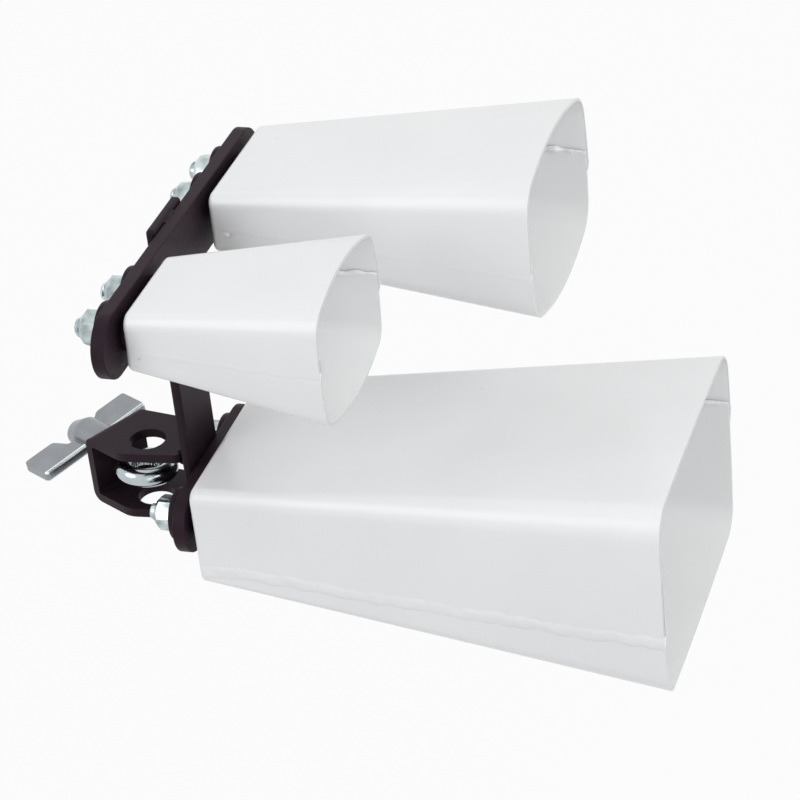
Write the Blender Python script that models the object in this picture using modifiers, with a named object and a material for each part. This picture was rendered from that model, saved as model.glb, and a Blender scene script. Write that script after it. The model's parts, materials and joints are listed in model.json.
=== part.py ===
"""Triple cowbell on a rod clamp.

Three folded sheet-steel bells are bolted to a welded frame of flat bar. A U bracket on the
frame's upright takes a vertical rod, and an eyebolt with a wing nut pulls the rod tight.

Metres, +Z up. The origin is on the rod's axis at the clamp's mid-height, and the bells' mouths
face +X.
"""
import math

import bmesh
import bpy
from mathutils import Euler, Matrix, Vector

# Fits: air between neighbouring pieces
CLEARANCE = 0.0003

# Rod clamp: a U of bent strip, its web turned about the rod so that the wing nut is easy to reach
ROD_HOLE = 0.0154
CLAMP_TURN_DEG = 28.0
BRACKET_SHEET = 0.004
BRACKET_HEIGHT = 0.0315
BRACKET_BEND = 0.005
WEB_REACH = 0.024
WEB_WIDTH = 0.0295
CHEEK_REACH = 0.001

# Eyebolt and wing nut on the clamp's axis
THREAD_DIAMETER = 0.008
EYE_BORE = 0.0110
EYE_WIRE = 0.0080
EYE_PULL = 0.004
NECK_DIAMETER = 0.0070
SHANK_REACH = 0.048
HUB_DIAMETER = 0.013
HUB_LENGTH = 0.0267
HUB_CHAMFER = 0.001
WING_SPAN = 0.0565
WING_WIDTH = 0.0147
WING_THICKNESS = 0.0045
WING_GAP = 0.0212
WING_NOTCH = 0.005
WING_CORNER = 0.0008
WING_TILT_DEG = -6.5

# Frame of flat bar
STRAP_REACH = 0.0185
STRAP_WIDTH = 0.030
STRAP_THICKNESS = 0.004
STRAP_OVERHANG = 0.0015
STRAP_CORNER = 0.002
FRAME_SIDE = 0.005
BAR_HEIGHT = 0.0270
BAR_THICKNESS = 0.0055
BAR_EDGE = 0.0005
PLATE_OVERHANG = 0.0032
CROSSBAR_RISE = 0.1065
CROSSBAR_LENGTH = 0.177

# Fasteners: a black washer sits behind the bar, and a smaller one in front spaces the bell off
NUT_FLATS = 0.013
NUT_HEIGHT = 0.008
NUT_HEX_HEIGHT = 0.0062
NUT_COLLAR = 0.011
NUT_CHAMFER = 0.0006
HEAD_HEIGHT = 0.0053
BOLT_OVERHANG = 0.0026
OUTER_WASHER_DIAMETER = 0.022
OUTER_WASHER_THICKNESS = 0.004
SPACER_DIAMETER = 0.016
SPACER_THICKNESS = 0.003
INNER_WASHER_DIAMETER = 0.016
INNER_WASHER_THICKNESS = 0.0016
BOLT_MARGIN = 0.0012
WASHER_GAP = 0.001

# Bells: what all three share
SHEET = 0.0015
END_BEND = 0.0025
SEAM_LAP = 0.006

# Large bell, low on the lower plate. Seams are shares of the side's straight height, -1 to 1.
LARGE_LENGTH = 0.1994
LARGE_SIDE = 0.0065
LARGE_RISE = -0.0047
LARGE_END_WIDTH = 0.0906
LARGE_END_HEIGHT = 0.0439
LARGE_END_CORNER = 0.0056
LARGE_MOUTH_WIDTH = 0.1280
LARGE_MOUTH_HEIGHT = 0.0870
LARGE_MOUTH_CORNER = 0.0130
LARGE_CROWN = 0.0010
LARGE_NEAR_SEAM = (-0.76, -0.42)
LARGE_FAR_SEAM = (0.45, 0.38)

# Medium bell, on the crossbar's far half
MEDIUM_LENGTH = 0.1372
MEDIUM_SIDE = 0.0562
MEDIUM_END_WIDTH = 0.0664
MEDIUM_END_HEIGHT = 0.0269
MEDIUM_END_CORNER = 0.0053
MEDIUM_MOUTH_WIDTH = 0.0908
MEDIUM_MOUTH_HEIGHT = 0.0611
MEDIUM_MOUTH_CORNER = 0.0135
MEDIUM_CROWN = 0.0050
MEDIUM_NEAR_SEAM = (-0.05, -0.35)
MEDIUM_FAR_SEAM = (0.05, 0.15)

# Small bell, on the crossbar's near half
SMALL_LENGTH = 0.0818
SMALL_SIDE = -0.0462
SMALL_END_WIDTH = 0.0514
SMALL_END_HEIGHT = 0.0260
SMALL_END_CORNER = 0.0058
SMALL_MOUTH_WIDTH = 0.0717
SMALL_MOUTH_HEIGHT = 0.0498
SMALL_MOUTH_CORNER = 0.0103
SMALL_CROWN = 0.0045
SMALL_NEAR_SEAM = (-0.15, 0.05)
SMALL_FAR_SEAM = (0.05, 0.15)

# Steps round the curved stretches
ROUND_STEPS = 24
WIRE_STEPS = 12
ARC_STEPS = 10
CORNER_STEPS = 4
FACE_STEPS = 6
FLAP_STEPS = 2
BEND_STEPS = 3
LENGTH_STEPS = 4

# Places that the sizes above settle
BRACKET_END = STRAP_REACH - CLEARANCE
STRAP_FRONT = STRAP_REACH + STRAP_THICKNESS
BAR_BACK = STRAP_FRONT + CLEARANCE
BAR_FRONT = BAR_BACK + BAR_THICKNESS
SPACER_BACK = BAR_FRONT + CLEARANCE
BELL_END = SPACER_BACK + SPACER_THICKNESS + CLEARANCE
LAP = SHEET + CLEARANCE
INNER_WASHER_BACK = BELL_END + LAP + SHEET + CLEARANCE
HEAD_BACK = INNER_WASHER_BACK + INNER_WASHER_THICKNESS + CLEARANCE
OUTER_WASHER_BACK = BAR_BACK - CLEARANCE - OUTER_WASHER_THICKNESS
NUT_BACK = OUTER_WASHER_BACK - CLEARANCE - NUT_HEIGHT
BOLT_LENGTH = HEAD_BACK - NUT_BACK + BOLT_OVERHANG
BOLT_HOLE = THREAD_DIAMETER + 2 * CLEARANCE
HUB_BACK = WEB_REACH + CLEARANCE
LARGE_BOLT_SHIFT = abs(LARGE_SIDE - FRAME_SIDE) + BOLT_MARGIN
LARGE_BOLT_SPACING = STRAP_WIDTH + OUTER_WASHER_DIAMETER + 2 * LARGE_BOLT_SHIFT
MEDIUM_BOLT_SPACING = OUTER_WASHER_DIAMETER + WASHER_GAP
SMALL_BOLT_SPACING = SMALL_END_WIDTH - OUTER_WASHER_DIAMETER - 2 * BOLT_MARGIN
PLATE_LENGTH = LARGE_BOLT_SPACING + BAR_HEIGHT + 2 * PLATE_OVERHANG
CUT_MARGIN = 0.002

# Turns: a piece's own +Z along +X, with its own +X along +Y
FACING_X = (math.pi / 2, 0.0, math.pi / 2)
ON_EDGE = (math.pi / 2, 0.0, 0.0)

BELLS = {
    "large": dict(
        length=LARGE_LENGTH, side=LARGE_SIDE, rise=LARGE_RISE, spacing=LARGE_BOLT_SPACING,
        end=(LARGE_END_WIDTH, LARGE_END_HEIGHT, LARGE_END_CORNER),
        mouth=(LARGE_MOUTH_WIDTH, LARGE_MOUTH_HEIGHT, LARGE_MOUTH_CORNER),
        crown=LARGE_CROWN, near_seam=LARGE_NEAR_SEAM, far_seam=LARGE_FAR_SEAM),
    "medium": dict(
        length=MEDIUM_LENGTH, side=MEDIUM_SIDE, rise=CROSSBAR_RISE, spacing=MEDIUM_BOLT_SPACING,
        end=(MEDIUM_END_WIDTH, MEDIUM_END_HEIGHT, MEDIUM_END_CORNER),
        mouth=(MEDIUM_MOUTH_WIDTH, MEDIUM_MOUTH_HEIGHT, MEDIUM_MOUTH_CORNER),
        crown=MEDIUM_CROWN, near_seam=MEDIUM_NEAR_SEAM, far_seam=MEDIUM_FAR_SEAM),
    "small": dict(
        length=SMALL_LENGTH, side=SMALL_SIDE, rise=CROSSBAR_RISE, spacing=SMALL_BOLT_SPACING,
        end=(SMALL_END_WIDTH, SMALL_END_HEIGHT, SMALL_END_CORNER),
        mouth=(SMALL_MOUTH_WIDTH, SMALL_MOUTH_HEIGHT, SMALL_MOUTH_CORNER),
        crown=SMALL_CROWN, near_seam=SMALL_NEAR_SEAM, far_seam=SMALL_FAR_SEAM),
}


def new_collection(name):
    collection = bpy.data.collections.new(name)
    bpy.context.scene.collection.children.link(collection)
    return collection


def new_material(name, colour, roughness, metallic):
    material = bpy.data.materials.new(name)
    material.use_nodes = True
    shader = material.node_tree.nodes["Principled BSDF"]
    shader.inputs["Base Color"].default_value = (*colour, 1.0)
    shader.inputs["Roughness"].default_value = roughness
    shader.inputs["Metallic"].default_value = metallic
    return material


for old in list(bpy.data.objects):
    bpy.data.objects.remove(old, do_unlink=True)
PARTS = new_collection("triple_cowbell")
CUTTERS = new_collection("cutters")
WHITE = new_material("white gloss enamel", (0.78, 0.79, 0.79), 0.25, 0.0)
BLACK = new_material("black satin enamel", (0.022, 0.018, 0.018), 0.42, 0.0)
ZINC = new_material("bright zinc plate", (0.52, 0.55, 0.56), 0.32, 1.0)
CAST = new_material("cast zinc", (0.36, 0.38, 0.38), 0.45, 1.0)


def place(name, data, collection=PARTS, material=None, location=(0, 0, 0), turn=(0, 0, 0), parent=None):
    obj = bpy.data.objects.new(name, data)
    collection.objects.link(obj)
    obj.location = location
    obj.rotation_euler = turn
    obj.parent = parent
    if material and not data.materials:
        data.materials.append(material)
    bpy.context.view_layer.update()
    return obj


def cutter(name, mesh, location=(0, 0, 0), turn=(0, 0, 0), parent=None):
    obj = place(name, mesh, CUTTERS, None, location, turn, parent)
    obj.hide_render = True
    obj.display_type = "WIRE"
    return obj


def combine(obj, other, operation):
    boolean = obj.modifiers.new(other.name, "BOOLEAN")
    boolean.operation = operation
    boolean.object = other
    boolean.solver = "EXACT"


def ease_edges(obj, width):
    bevel = obj.modifiers.new("eased edges", "BEVEL")
    bevel.width = width
    bevel.segments = 1
    bevel.limit_method = "ANGLE"
    bevel.angle_limit = math.radians(50)


def settled_mesh(obj):
    """The object's mesh with its modifiers applied; the object itself goes."""
    bpy.context.view_layer.update()
    graph = bpy.context.evaluated_depsgraph_get()
    mesh = bpy.data.meshes.new_from_object(obj.evaluated_get(graph))
    mesh.name = obj.name
    bpy.data.objects.remove(obj, do_unlink=True)
    mesh.shade_smooth()
    mesh.set_sharp_from_angle(angle=math.radians(35))
    return mesh


def cylinder_mesh(name, diameter, length, steps=ROUND_STEPS):
    """A capped cylinder on Z, from z = 0 up."""
    shape = bmesh.new()
    bmesh.ops.create_cone(shape, cap_ends=True, segments=steps, radius1=diameter / 2,
                          radius2=diameter / 2, depth=length)
    bmesh.ops.translate(shape, verts=shape.verts, vec=(0, 0, length / 2))
    mesh = bpy.data.meshes.new(name)
    shape.to_mesh(mesh)
    shape.free()
    return mesh


def hexagon_mesh(name, flats, height):
    return cylinder_mesh(name, flats / math.cos(math.pi / 6), height, steps=6)


def turned_mesh(name, profile, closed=True):
    """A (radius, z) profile spun about Z. It runs down its outer side; a closed one makes a ring."""
    mesh = bpy.data.meshes.new(name)
    edges = [(i, i + 1) for i in range(len(profile) - 1)]
    if closed:
        edges.append((len(profile) - 1, 0))
    mesh.from_pydata([(radius, 0, z) for radius, z in profile], edges, [])
    obj = place(name, mesh, CUTTERS)
    screw = obj.modifiers.new("spin", "SCREW")
    screw.axis = "Z"
    screw.steps = ROUND_STEPS
    screw.render_steps = ROUND_STEPS
    screw.use_merge_vertices = True
    screw.merge_threshold = 0.00001
    return settled_mesh(obj)


def plate_mesh(name, outline, thickness):
    """A flat outline in XY given a thickness, from z = 0 up."""
    curve = bpy.data.curves.new(name, "CURVE")
    curve.dimensions = "2D"
    curve.fill_mode = "BOTH"
    curve.extrude = thickness / 2
    spline = curve.splines.new("POLY")
    spline.points.add(len(outline) - 1)
    for point, (x, y) in zip(spline.points, outline):
        point.co = (x, y, 0, 1)
    spline.use_cyclic_u = True
    mesh = settled_mesh(place(name, curve, CUTTERS))
    shape = bmesh.new()
    shape.from_mesh(mesh)
    bmesh.ops.remove_doubles(shape, verts=shape.verts, dist=0.00001)
    bmesh.ops.dissolve_limit(shape, angle_limit=math.radians(1), verts=shape.verts, edges=shape.edges)
    bmesh.ops.translate(shape, verts=shape.verts, vec=(0, 0, thickness / 2))
    bmesh.ops.recalc_face_normals(shape, faces=shape.faces)
    shape.to_mesh(mesh)
    shape.free()
    return mesh


def arc(centre, radius, start, end, steps=ARC_STEPS):
    angles = [math.radians(start + (end - start) * i / steps) for i in range(steps + 1)]
    return [(centre[0] + radius * math.cos(a), centre[1] + radius * math.sin(a)) for a in angles]


def stadium(length, height):
    """Outline of a flat bar with round ends, long in X."""
    middle = (length - height) / 2
    return arc((middle, 0), height / 2, -90, 90) + arc((-middle, 0), height / 2, 90, 270)


def rounded_box(left, bottom, right, top, radius):
    """Outline of a rectangle with rounded corners."""
    return (arc((right - radius, bottom + radius), radius, -90, 0, CORNER_STEPS)
            + arc((right - radius, top - radius), radius, 0, 90, CORNER_STEPS)
            + arc((left + radius, top - radius), radius, 90, 180, CORNER_STEPS)
            + arc((left + radius, bottom + radius), radius, 180, 270, CORNER_STEPS))


# Bells

def half_section(width, height, corner, crown, near_edge, far_edge):
    """Points (y, z) over a bell's top, from the near flap's edge to the far flap's edge.

    Width and height are taken over the sharp corners, and the top bows out by the crown.
    """
    flat = width / 2 - corner
    rise = height / 2 - corner
    tilt = math.atan2(2 * crown, flat)
    angles = [(math.pi / 2 - tilt) * i / CORNER_STEPS for i in range(CORNER_STEPS + 1)]
    turn = [(flat + corner * math.cos(a), rise + corner * math.sin(a)) for a in angles]
    top = []
    for i in range(1, FACE_STEPS):
        share = 2 * i / FACE_STEPS - 1
        outward = Vector((2 * crown * share / flat, 1)).normalized()
        bow = crown * (1 - share * share)
        top.append((flat * share + corner * outward.x, rise + bow + corner * outward.y))
    flap = [i / FLAP_STEPS for i in range(FLAP_STEPS)]
    near = [(-width / 2, near_edge + (rise - near_edge) * share) for share in flap]
    far = [(width / 2, far_edge + (rise - far_edge) * share) for share in flap]
    return near + [(-y, z) for y, z in turn] + top + turn[::-1] + far[::-1]


def sheet_rows(bell, inner):
    """Rows (x, points) of one sheet's outer face, from its end wall round the bend to the mouth.

    The inner sheet is the lower one: it is made upside down and set in from the outer sheet.
    """
    inset = LAP if inner else 0.0
    start = BELL_END + inset

    def edges(share):
        height = bell["end"][1] + (bell["mouth"][1] - bell["end"][1]) * share
        corner = bell["end"][2] + (bell["mouth"][2] - bell["end"][2]) * share
        heights = []
        for seam in (bell["near_seam"], bell["far_seam"]):
            edge = (seam[0] + (seam[1] - seam[0]) * share) * (height / 2 - corner)
            heights.append(-(edge + SEAM_LAP) if inner else edge)
        return heights

    width, height, corner = bell["end"]
    rows = []
    for i in range(BEND_STEPS):
        angle = math.pi / 2 * i / BEND_STEPS
        tuck = END_BEND - END_BEND * math.sin(angle)
        points = half_section(width - 2 * (inset + tuck), height - 2 * tuck,
                              max(corner - tuck, CLEARANCE), 0, *edges(0))
        rows.append((start + END_BEND - END_BEND * math.cos(angle), points))
    for i in range(LENGTH_STEPS + 1):
        share = i / LENGTH_STEPS
        width, height, corner = [a + (b - a) * share for a, b in zip(bell["end"], bell["mouth"])]
        points = half_section(width - 2 * inset, height, corner, bell["crown"] * share, *edges(share))
        rows.append((start + END_BEND + (BELL_END + bell["length"] - start - END_BEND) * share, points))
    return rows


def sheet_mesh(name, bell, inner):
    """Open surface of one bell sheet, on the bell's axis."""
    rows = sheet_rows(bell, inner)
    side = -1 if inner else 1
    shape = bmesh.new()
    grid = [[shape.verts.new((x, y, side * z)) for y, z in points] for x, points in rows]
    for first, second in zip(grid, grid[1:]):
        for i in range(len(first) - 1):
            shape.faces.new((first[i], first[i + 1], second[i + 1], second[i]))
    x, points = rows[0]
    foot = side * (END_BEND - bell["end"][1] / 2)
    corners = [shape.verts.new((x, points[i][0], foot)) for i in (-1, 0)]
    shape.faces.new(grid[0] + corners)
    bmesh.ops.recalc_face_normals(shape, faces=shape.faces)
    wall = min(shape.faces, key=lambda face: face.calc_center_median().x)
    if wall.normal.x > 0:
        bmesh.ops.reverse_faces(shape, faces=shape.faces)
    mesh = bpy.data.meshes.new(name)
    shape.to_mesh(mesh)
    shape.free()
    mesh.shade_smooth()
    mesh.set_sharp_from_angle(angle=math.radians(50))
    return mesh


def bell_sheet(name, bell, inner):
    obj = place(name, sheet_mesh(name, bell, inner), PARTS, WHITE, (0, bell["side"], bell["rise"]))
    shell = obj.modifiers.new("sheet", "SOLIDIFY")
    shell.thickness = SHEET
    shell.offset = -1
    shell.use_even_offset = True
    shell.use_quality_normals = True
    return obj


# Frame

def upright_bar(name, outline, thickness, back, side, rise, edge):
    """A flat piece that stands across X, its outline in YZ."""
    obj = place(name, plate_mesh(name, outline, thickness), PARTS, BLACK, (back, side, rise), FACING_X)
    ease_edges(obj, edge)
    return obj


crossbar = upright_bar("crossbar", stadium(CROSSBAR_LENGTH, BAR_HEIGHT), BAR_THICKNESS, BAR_BACK,
                       FRAME_SIDE, CROSSBAR_RISE, BAR_EDGE)
lower_plate = upright_bar("lower_plate", stadium(PLATE_LENGTH, BAR_HEIGHT), BAR_THICKNESS, BAR_BACK,
                          LARGE_SIDE, LARGE_RISE, BAR_EDGE)
strap_foot = -BRACKET_HEIGHT / 2 - STRAP_OVERHANG
strap_top = CROSSBAR_RISE + BAR_HEIGHT / 2 + STRAP_OVERHANG
strap_outline = rounded_box(-STRAP_WIDTH / 2, strap_foot, STRAP_WIDTH / 2, strap_top, STRAP_CORNER)
upright_bar("upright_strap", strap_outline, STRAP_THICKNESS, STRAP_REACH, FRAME_SIDE, 0, BAR_EDGE)

# Rod clamp, in a frame on the rod's axis whose +X points out through the web

clamp_axis = place("clamp_axis", None, turn=(0, 0, math.radians(180 - CLAMP_TURN_DEG)))


def bracket_profile():
    """Outline of the bent strip seen along its width: X out through the web, Y up."""
    half = BRACKET_HEIGHT / 2
    back = -2 * BRACKET_END - WEB_WIDTH
    centre = WEB_REACH - BRACKET_BEND
    inner = BRACKET_BEND - BRACKET_SHEET
    level = half - BRACKET_BEND
    outside = (arc((centre, -level), BRACKET_BEND, -90, 0, CORNER_STEPS)
               + arc((centre, level), BRACKET_BEND, 0, 90, CORNER_STEPS))
    inside = (arc((centre, level), inner, 90, 0, CORNER_STEPS)
              + arc((centre, -level), inner, 0, -90, CORNER_STEPS))
    ends = [(back, half), (back, half - BRACKET_SHEET)]
    return [(back, -half)] + outside + ends + inside + [(back, BRACKET_SHEET - half)]


def bracket_plan():
    """Plan of the bracket in world XY: as wide as its web, then drawn in to the strap."""
    turn = Matrix.Rotation(math.radians(180 - CLAMP_TURN_DEG), 2)
    half = WEB_WIDTH / 2
    near = [turn @ Vector((reach, half)) for reach in (WEB_REACH + CUT_MARGIN, CHEEK_REACH)]
    far = turn @ Vector((WEB_REACH + CUT_MARGIN, -half))
    strap = [(BRACKET_END, FRAME_SIDE - STRAP_WIDTH / 2), (BRACKET_END, FRAME_SIDE + STRAP_WIDTH / 2)]
    return [tuple(point) for point in near] + strap + [tuple(far)]


strip_width = 2 * (WEB_WIDTH + STRAP_WIDTH)
strip = plate_mesh("clamp_bracket", bracket_profile(), strip_width)
bracket = place("clamp_bracket", strip, PARTS, BLACK, (0, strip_width / 2, 0), ON_EDGE, clamp_axis)
tall = BRACKET_HEIGHT + 2 * CUT_MARGIN
plan = cutter("bracket plan", plate_mesh("bracket plan", bracket_plan(), tall), (0, 0, -tall / 2))
combine(bracket, plan, "INTERSECT")
rod = cutter("rod hole", cylinder_mesh("rod hole", ROD_HOLE, tall, 2 * ROUND_STEPS), (0, 0, -tall / 2))
combine(bracket, rod, "DIFFERENCE")
shank_hole = cylinder_mesh("shank hole", BOLT_HOLE, 2 * BRACKET_SHEET)
web_middle = WEB_REACH - BRACKET_SHEET / 2
web_hole = cutter("web hole", shank_hole, (web_middle - BRACKET_SHEET, 0, 0), FACING_X, clamp_axis)
combine(bracket, web_hole, "DIFFERENCE")

# Eyebolt: a round eye on a shank, pulled a little towards the web

eye_radius = (EYE_BORE + EYE_WIRE) / 2
eye_profile = arc((eye_radius, 0), EYE_WIRE / 2, 90, -270, WIRE_STEPS)[:-1]
shank_length = SHANK_REACH - EYE_PULL - eye_radius
shank_profile = [
    (0, shank_length), (THREAD_DIAMETER / 2, shank_length), (THREAD_DIAMETER / 2, EYE_WIRE),
    (NECK_DIAMETER / 2, 0), (0, 0)]
eye_mesh = turned_mesh("eyebolt", eye_profile)
eye = place("eyebolt", eye_mesh, PARTS, ZINC, (EYE_PULL, 0, 0), parent=clamp_axis)
shank_start = (EYE_PULL + eye_radius, 0, 0)
shank = cutter("shank", turned_mesh("shank", shank_profile, False), shank_start, FACING_X, clamp_axis)
combine(eye, shank, "UNION")

# Wing nut: a hub with two flat wings, turned a little from level

wing_half = WING_SPAN / 2
wing_top = HUB_LENGTH
wing_foot = HUB_LENGTH - WING_WIDTH
wing_outline = [
    (-wing_half, wing_foot + WING_CORNER), (-wing_half + WING_CORNER, wing_foot),
    (wing_half - WING_CORNER, wing_foot), (wing_half, wing_foot + WING_CORNER),
    (wing_half, wing_top - WING_CORNER), (wing_half - WING_CORNER, wing_top),
    (WING_GAP / 2, wing_top), (HUB_DIAMETER / 2, wing_top - WING_NOTCH),
    (-HUB_DIAMETER / 2, wing_top - WING_NOTCH), (-WING_GAP / 2, wing_top),
    (-wing_half + WING_CORNER, wing_top), (-wing_half, wing_top - WING_CORNER)]
hub_profile = [
    (0, HUB_LENGTH), (HUB_DIAMETER / 2 - HUB_CHAMFER, HUB_LENGTH),
    (HUB_DIAMETER / 2, HUB_LENGTH - HUB_CHAMFER), (HUB_DIAMETER / 2, 0), (0, 0)]
tilted = Euler(FACING_X).to_matrix() @ Matrix.Rotation(math.radians(WING_TILT_DEG), 3, "Z")
nut_turn = tilted.to_euler()
hub_place = (HUB_BACK, 0, 0)
hub_mesh = turned_mesh("wing_nut", hub_profile, False)
wing_nut = place("wing_nut", hub_mesh, PARTS, CAST, hub_place, nut_turn, clamp_axis)
wing_frame = place("wing_frame", None, CUTTERS, None, hub_place, nut_turn, clamp_axis)
wing_mesh = plate_mesh("wings", wing_outline, WING_THICKNESS)
wings = cutter("wings", wing_mesh, (0, WING_THICKNESS / 2, 0), ON_EDGE, wing_frame)
combine(wing_nut, wings, "UNION")
nut_bore = cylinder_mesh("nut bore", BOLT_HOLE, HUB_LENGTH + 2 * CUT_MARGIN)
bore = cutter("nut bore", nut_bore, (0, 0, -CUT_MARGIN), (0, 0, 0), wing_frame)
combine(wing_nut, bore, "DIFFERENCE")

# Fasteners, each made once on Z: the nut's collar faces -Z, the bolt's head +Z

collar = NUT_HEIGHT - NUT_HEX_HEIGHT
corner_radius = NUT_FLATS / 2 / math.cos(math.pi / 6)
face_radius = corner_radius - 2 * NUT_CHAMFER
nut_profile = [
    (BOLT_HOLE / 2, NUT_HEIGHT), (face_radius, NUT_HEIGHT), (corner_radius, NUT_HEIGHT - NUT_CHAMFER),
    (corner_radius, collar + NUT_CHAMFER), (face_radius, collar), (NUT_COLLAR / 2, collar),
    (NUT_COLLAR / 2, NUT_CHAMFER), (NUT_COLLAR / 2 - NUT_CHAMFER, 0), (BOLT_HOLE / 2, 0)]
nut_blank = place("lock nut", turned_mesh("lock nut", nut_profile), CUTTERS)
nut_hexagon = hexagon_mesh("nut hexagon", NUT_FLATS, NUT_HEIGHT + 2 * CUT_MARGIN)
combine(nut_blank, cutter("nut hexagon", nut_hexagon, (0, 0, -CUT_MARGIN)), "INTERSECT")
nut_mesh = settled_mesh(nut_blank)

head_end = BOLT_LENGTH + HEAD_HEIGHT
thread_radius = THREAD_DIAMETER / 2
bolt_profile = [
    (0, head_end), (face_radius, head_end), (corner_radius, head_end - NUT_CHAMFER),
    (corner_radius, BOLT_LENGTH), (thread_radius, BOLT_LENGTH), (thread_radius, NUT_CHAMFER),
    (thread_radius - NUT_CHAMFER, 0), (0, 0)]
bolt_blank = place("bell bolt", turned_mesh("bell bolt", bolt_profile, False), CUTTERS)
bolt_hexagon = hexagon_mesh("bolt hexagon", NUT_FLATS, head_end + 2 * CUT_MARGIN)
combine(bolt_blank, cutter("bolt hexagon", bolt_hexagon, (0, 0, -CUT_MARGIN)), "INTERSECT")
bolt_mesh = settled_mesh(bolt_blank)


def washer_mesh(name, diameter, thickness):
    inner = BOLT_HOLE / 2
    outer = diameter / 2
    return turned_mesh(name, [(inner, thickness), (outer, thickness), (outer, 0), (inner, 0)])


outer_washer = washer_mesh("outer washer", OUTER_WASHER_DIAMETER, OUTER_WASHER_THICKNESS)
spacer_washer = washer_mesh("spacer washer", SPACER_DIAMETER, SPACER_THICKNESS)
inner_washer = washer_mesh("inner washer", INNER_WASHER_DIAMETER, INNER_WASHER_THICKNESS)
hole_mesh = cylinder_mesh("bolt hole", BOLT_HOLE, HEAD_BACK - BAR_BACK + 2 * CUT_MARGIN)

for bell_name, bell in BELLS.items():
    sheets = [bell_sheet(bell_name + "_bell_upper_sheet", bell, False),
              bell_sheet(bell_name + "_bell_lower_sheet", bell, True)]
    bar = lower_plate if bell_name == "large" else crossbar
    for end, sign in (("near", -1), ("far", 1)):
        tag = bell_name + "_bell_" + end
        across = bell["side"] + sign * bell["spacing"] / 2
        hole = cutter(tag + " hole", hole_mesh, (BAR_BACK - CUT_MARGIN, across, bell["rise"]), FACING_X)
        for drilled in sheets + [bar]:
            combine(drilled, hole, "DIFFERENCE")
        stack = ((tag + "_bolt", bolt_mesh, ZINC, NUT_BACK - BOLT_OVERHANG),
                 (tag + "_lock_nut", nut_mesh, ZINC, NUT_BACK),
                 (tag + "_black_washer", outer_washer, BLACK, OUTER_WASHER_BACK),
                 (tag + "_spacer_washer", spacer_washer, BLACK, SPACER_BACK),
                 (tag + "_plain_washer", inner_washer, ZINC, INNER_WASHER_BACK))
        for piece, mesh, material, back in stack:
            place(piece, mesh, PARTS, material, (back, across, bell["rise"]), FACING_X)
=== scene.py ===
"""Triple cowbell: painted bells, black frame, plated clamp and fasteners, dressed over the CAD frame."""
import json
import math

import bmesh
import bpy
from bpy.props import FloatProperty, FloatVectorProperty, PointerProperty
from bpy.types import Operator, Panel, PropertyGroup
from mathutils import Matrix, Vector


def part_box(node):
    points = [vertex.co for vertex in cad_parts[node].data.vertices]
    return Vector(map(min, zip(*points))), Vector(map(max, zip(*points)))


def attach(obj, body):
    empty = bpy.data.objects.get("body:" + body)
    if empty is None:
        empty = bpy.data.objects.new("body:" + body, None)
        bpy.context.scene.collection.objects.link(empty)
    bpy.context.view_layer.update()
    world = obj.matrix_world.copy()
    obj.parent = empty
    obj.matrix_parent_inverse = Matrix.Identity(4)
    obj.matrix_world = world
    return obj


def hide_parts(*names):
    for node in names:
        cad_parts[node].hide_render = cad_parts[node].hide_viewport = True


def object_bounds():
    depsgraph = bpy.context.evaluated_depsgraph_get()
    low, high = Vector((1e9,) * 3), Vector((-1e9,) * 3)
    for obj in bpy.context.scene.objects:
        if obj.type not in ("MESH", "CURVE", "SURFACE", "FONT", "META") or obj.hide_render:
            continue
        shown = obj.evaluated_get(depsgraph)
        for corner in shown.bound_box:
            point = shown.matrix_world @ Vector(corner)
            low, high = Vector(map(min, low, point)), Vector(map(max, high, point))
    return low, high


bl_info = {
    "name": "Triple Cowbell Looks",
    "version": (1, 0, 0),
    "blender": (4, 5, 0),
    "location": "View3D > Sidebar > Cowbell",
    "description": "Dresses the triple cowbell's frame with painted sheet, plated hardware and welds",
    "category": "Object",
}

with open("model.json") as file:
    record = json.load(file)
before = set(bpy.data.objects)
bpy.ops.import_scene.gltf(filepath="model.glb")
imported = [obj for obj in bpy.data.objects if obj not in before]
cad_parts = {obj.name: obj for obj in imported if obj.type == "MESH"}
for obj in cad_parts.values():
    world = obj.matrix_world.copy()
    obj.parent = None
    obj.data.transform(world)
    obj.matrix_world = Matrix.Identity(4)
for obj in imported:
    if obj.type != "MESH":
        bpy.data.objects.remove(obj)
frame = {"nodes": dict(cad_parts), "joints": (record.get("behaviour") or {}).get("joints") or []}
CAD_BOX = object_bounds()
MM = 0.001
MERGE = 1e-6
STATIC = "bells_and_frame"
X_AXIS, Z_AXIS, IN_PLACE = Vector((1, 0, 0)), Vector((0, 0, 1)), Matrix.Identity(4)
# Angles in degrees past which an edge stays sharp on plain, eased and grown meshes
SHARP, SHARP_EASED, SHARP_GROWN = 40, 38, 50


def linear(code):
    """Linear RGBA of an sRGB hex colour."""
    parts = [int(code[i:i + 2], 16) / 255 for i in (1, 3, 5)]
    return tuple(c / 12.92 if c <= 0.04045 else ((c + 0.055) / 1.055) ** 2.4 for c in parts) + (1.0,)


def box_of(node):
    """Low corner, high corner and middle of a CAD node."""
    low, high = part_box(node)
    return low, high, (low + high) / 2


# Places read from the frame
BAR_LOW, BAR_HIGH, _ = box_of("crossbar")
PLATE_LOW, PLATE_HIGH, _ = box_of("lower_plate")
STRAP_LOW, STRAP_HIGH, STRAP_MID = box_of("upright_strap")
BRACKET_LOW, BRACKET_HIGH, _ = box_of("clamp_bracket")
CLAMP_OUT = Vector(next(j for j in frame["joints"] if j["name"] == "eyebolt_slide")["axis"]).normalized()
CLAMP_SIDE = Vector((CLAMP_OUT.y, -CLAMP_OUT.x, 0))


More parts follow.
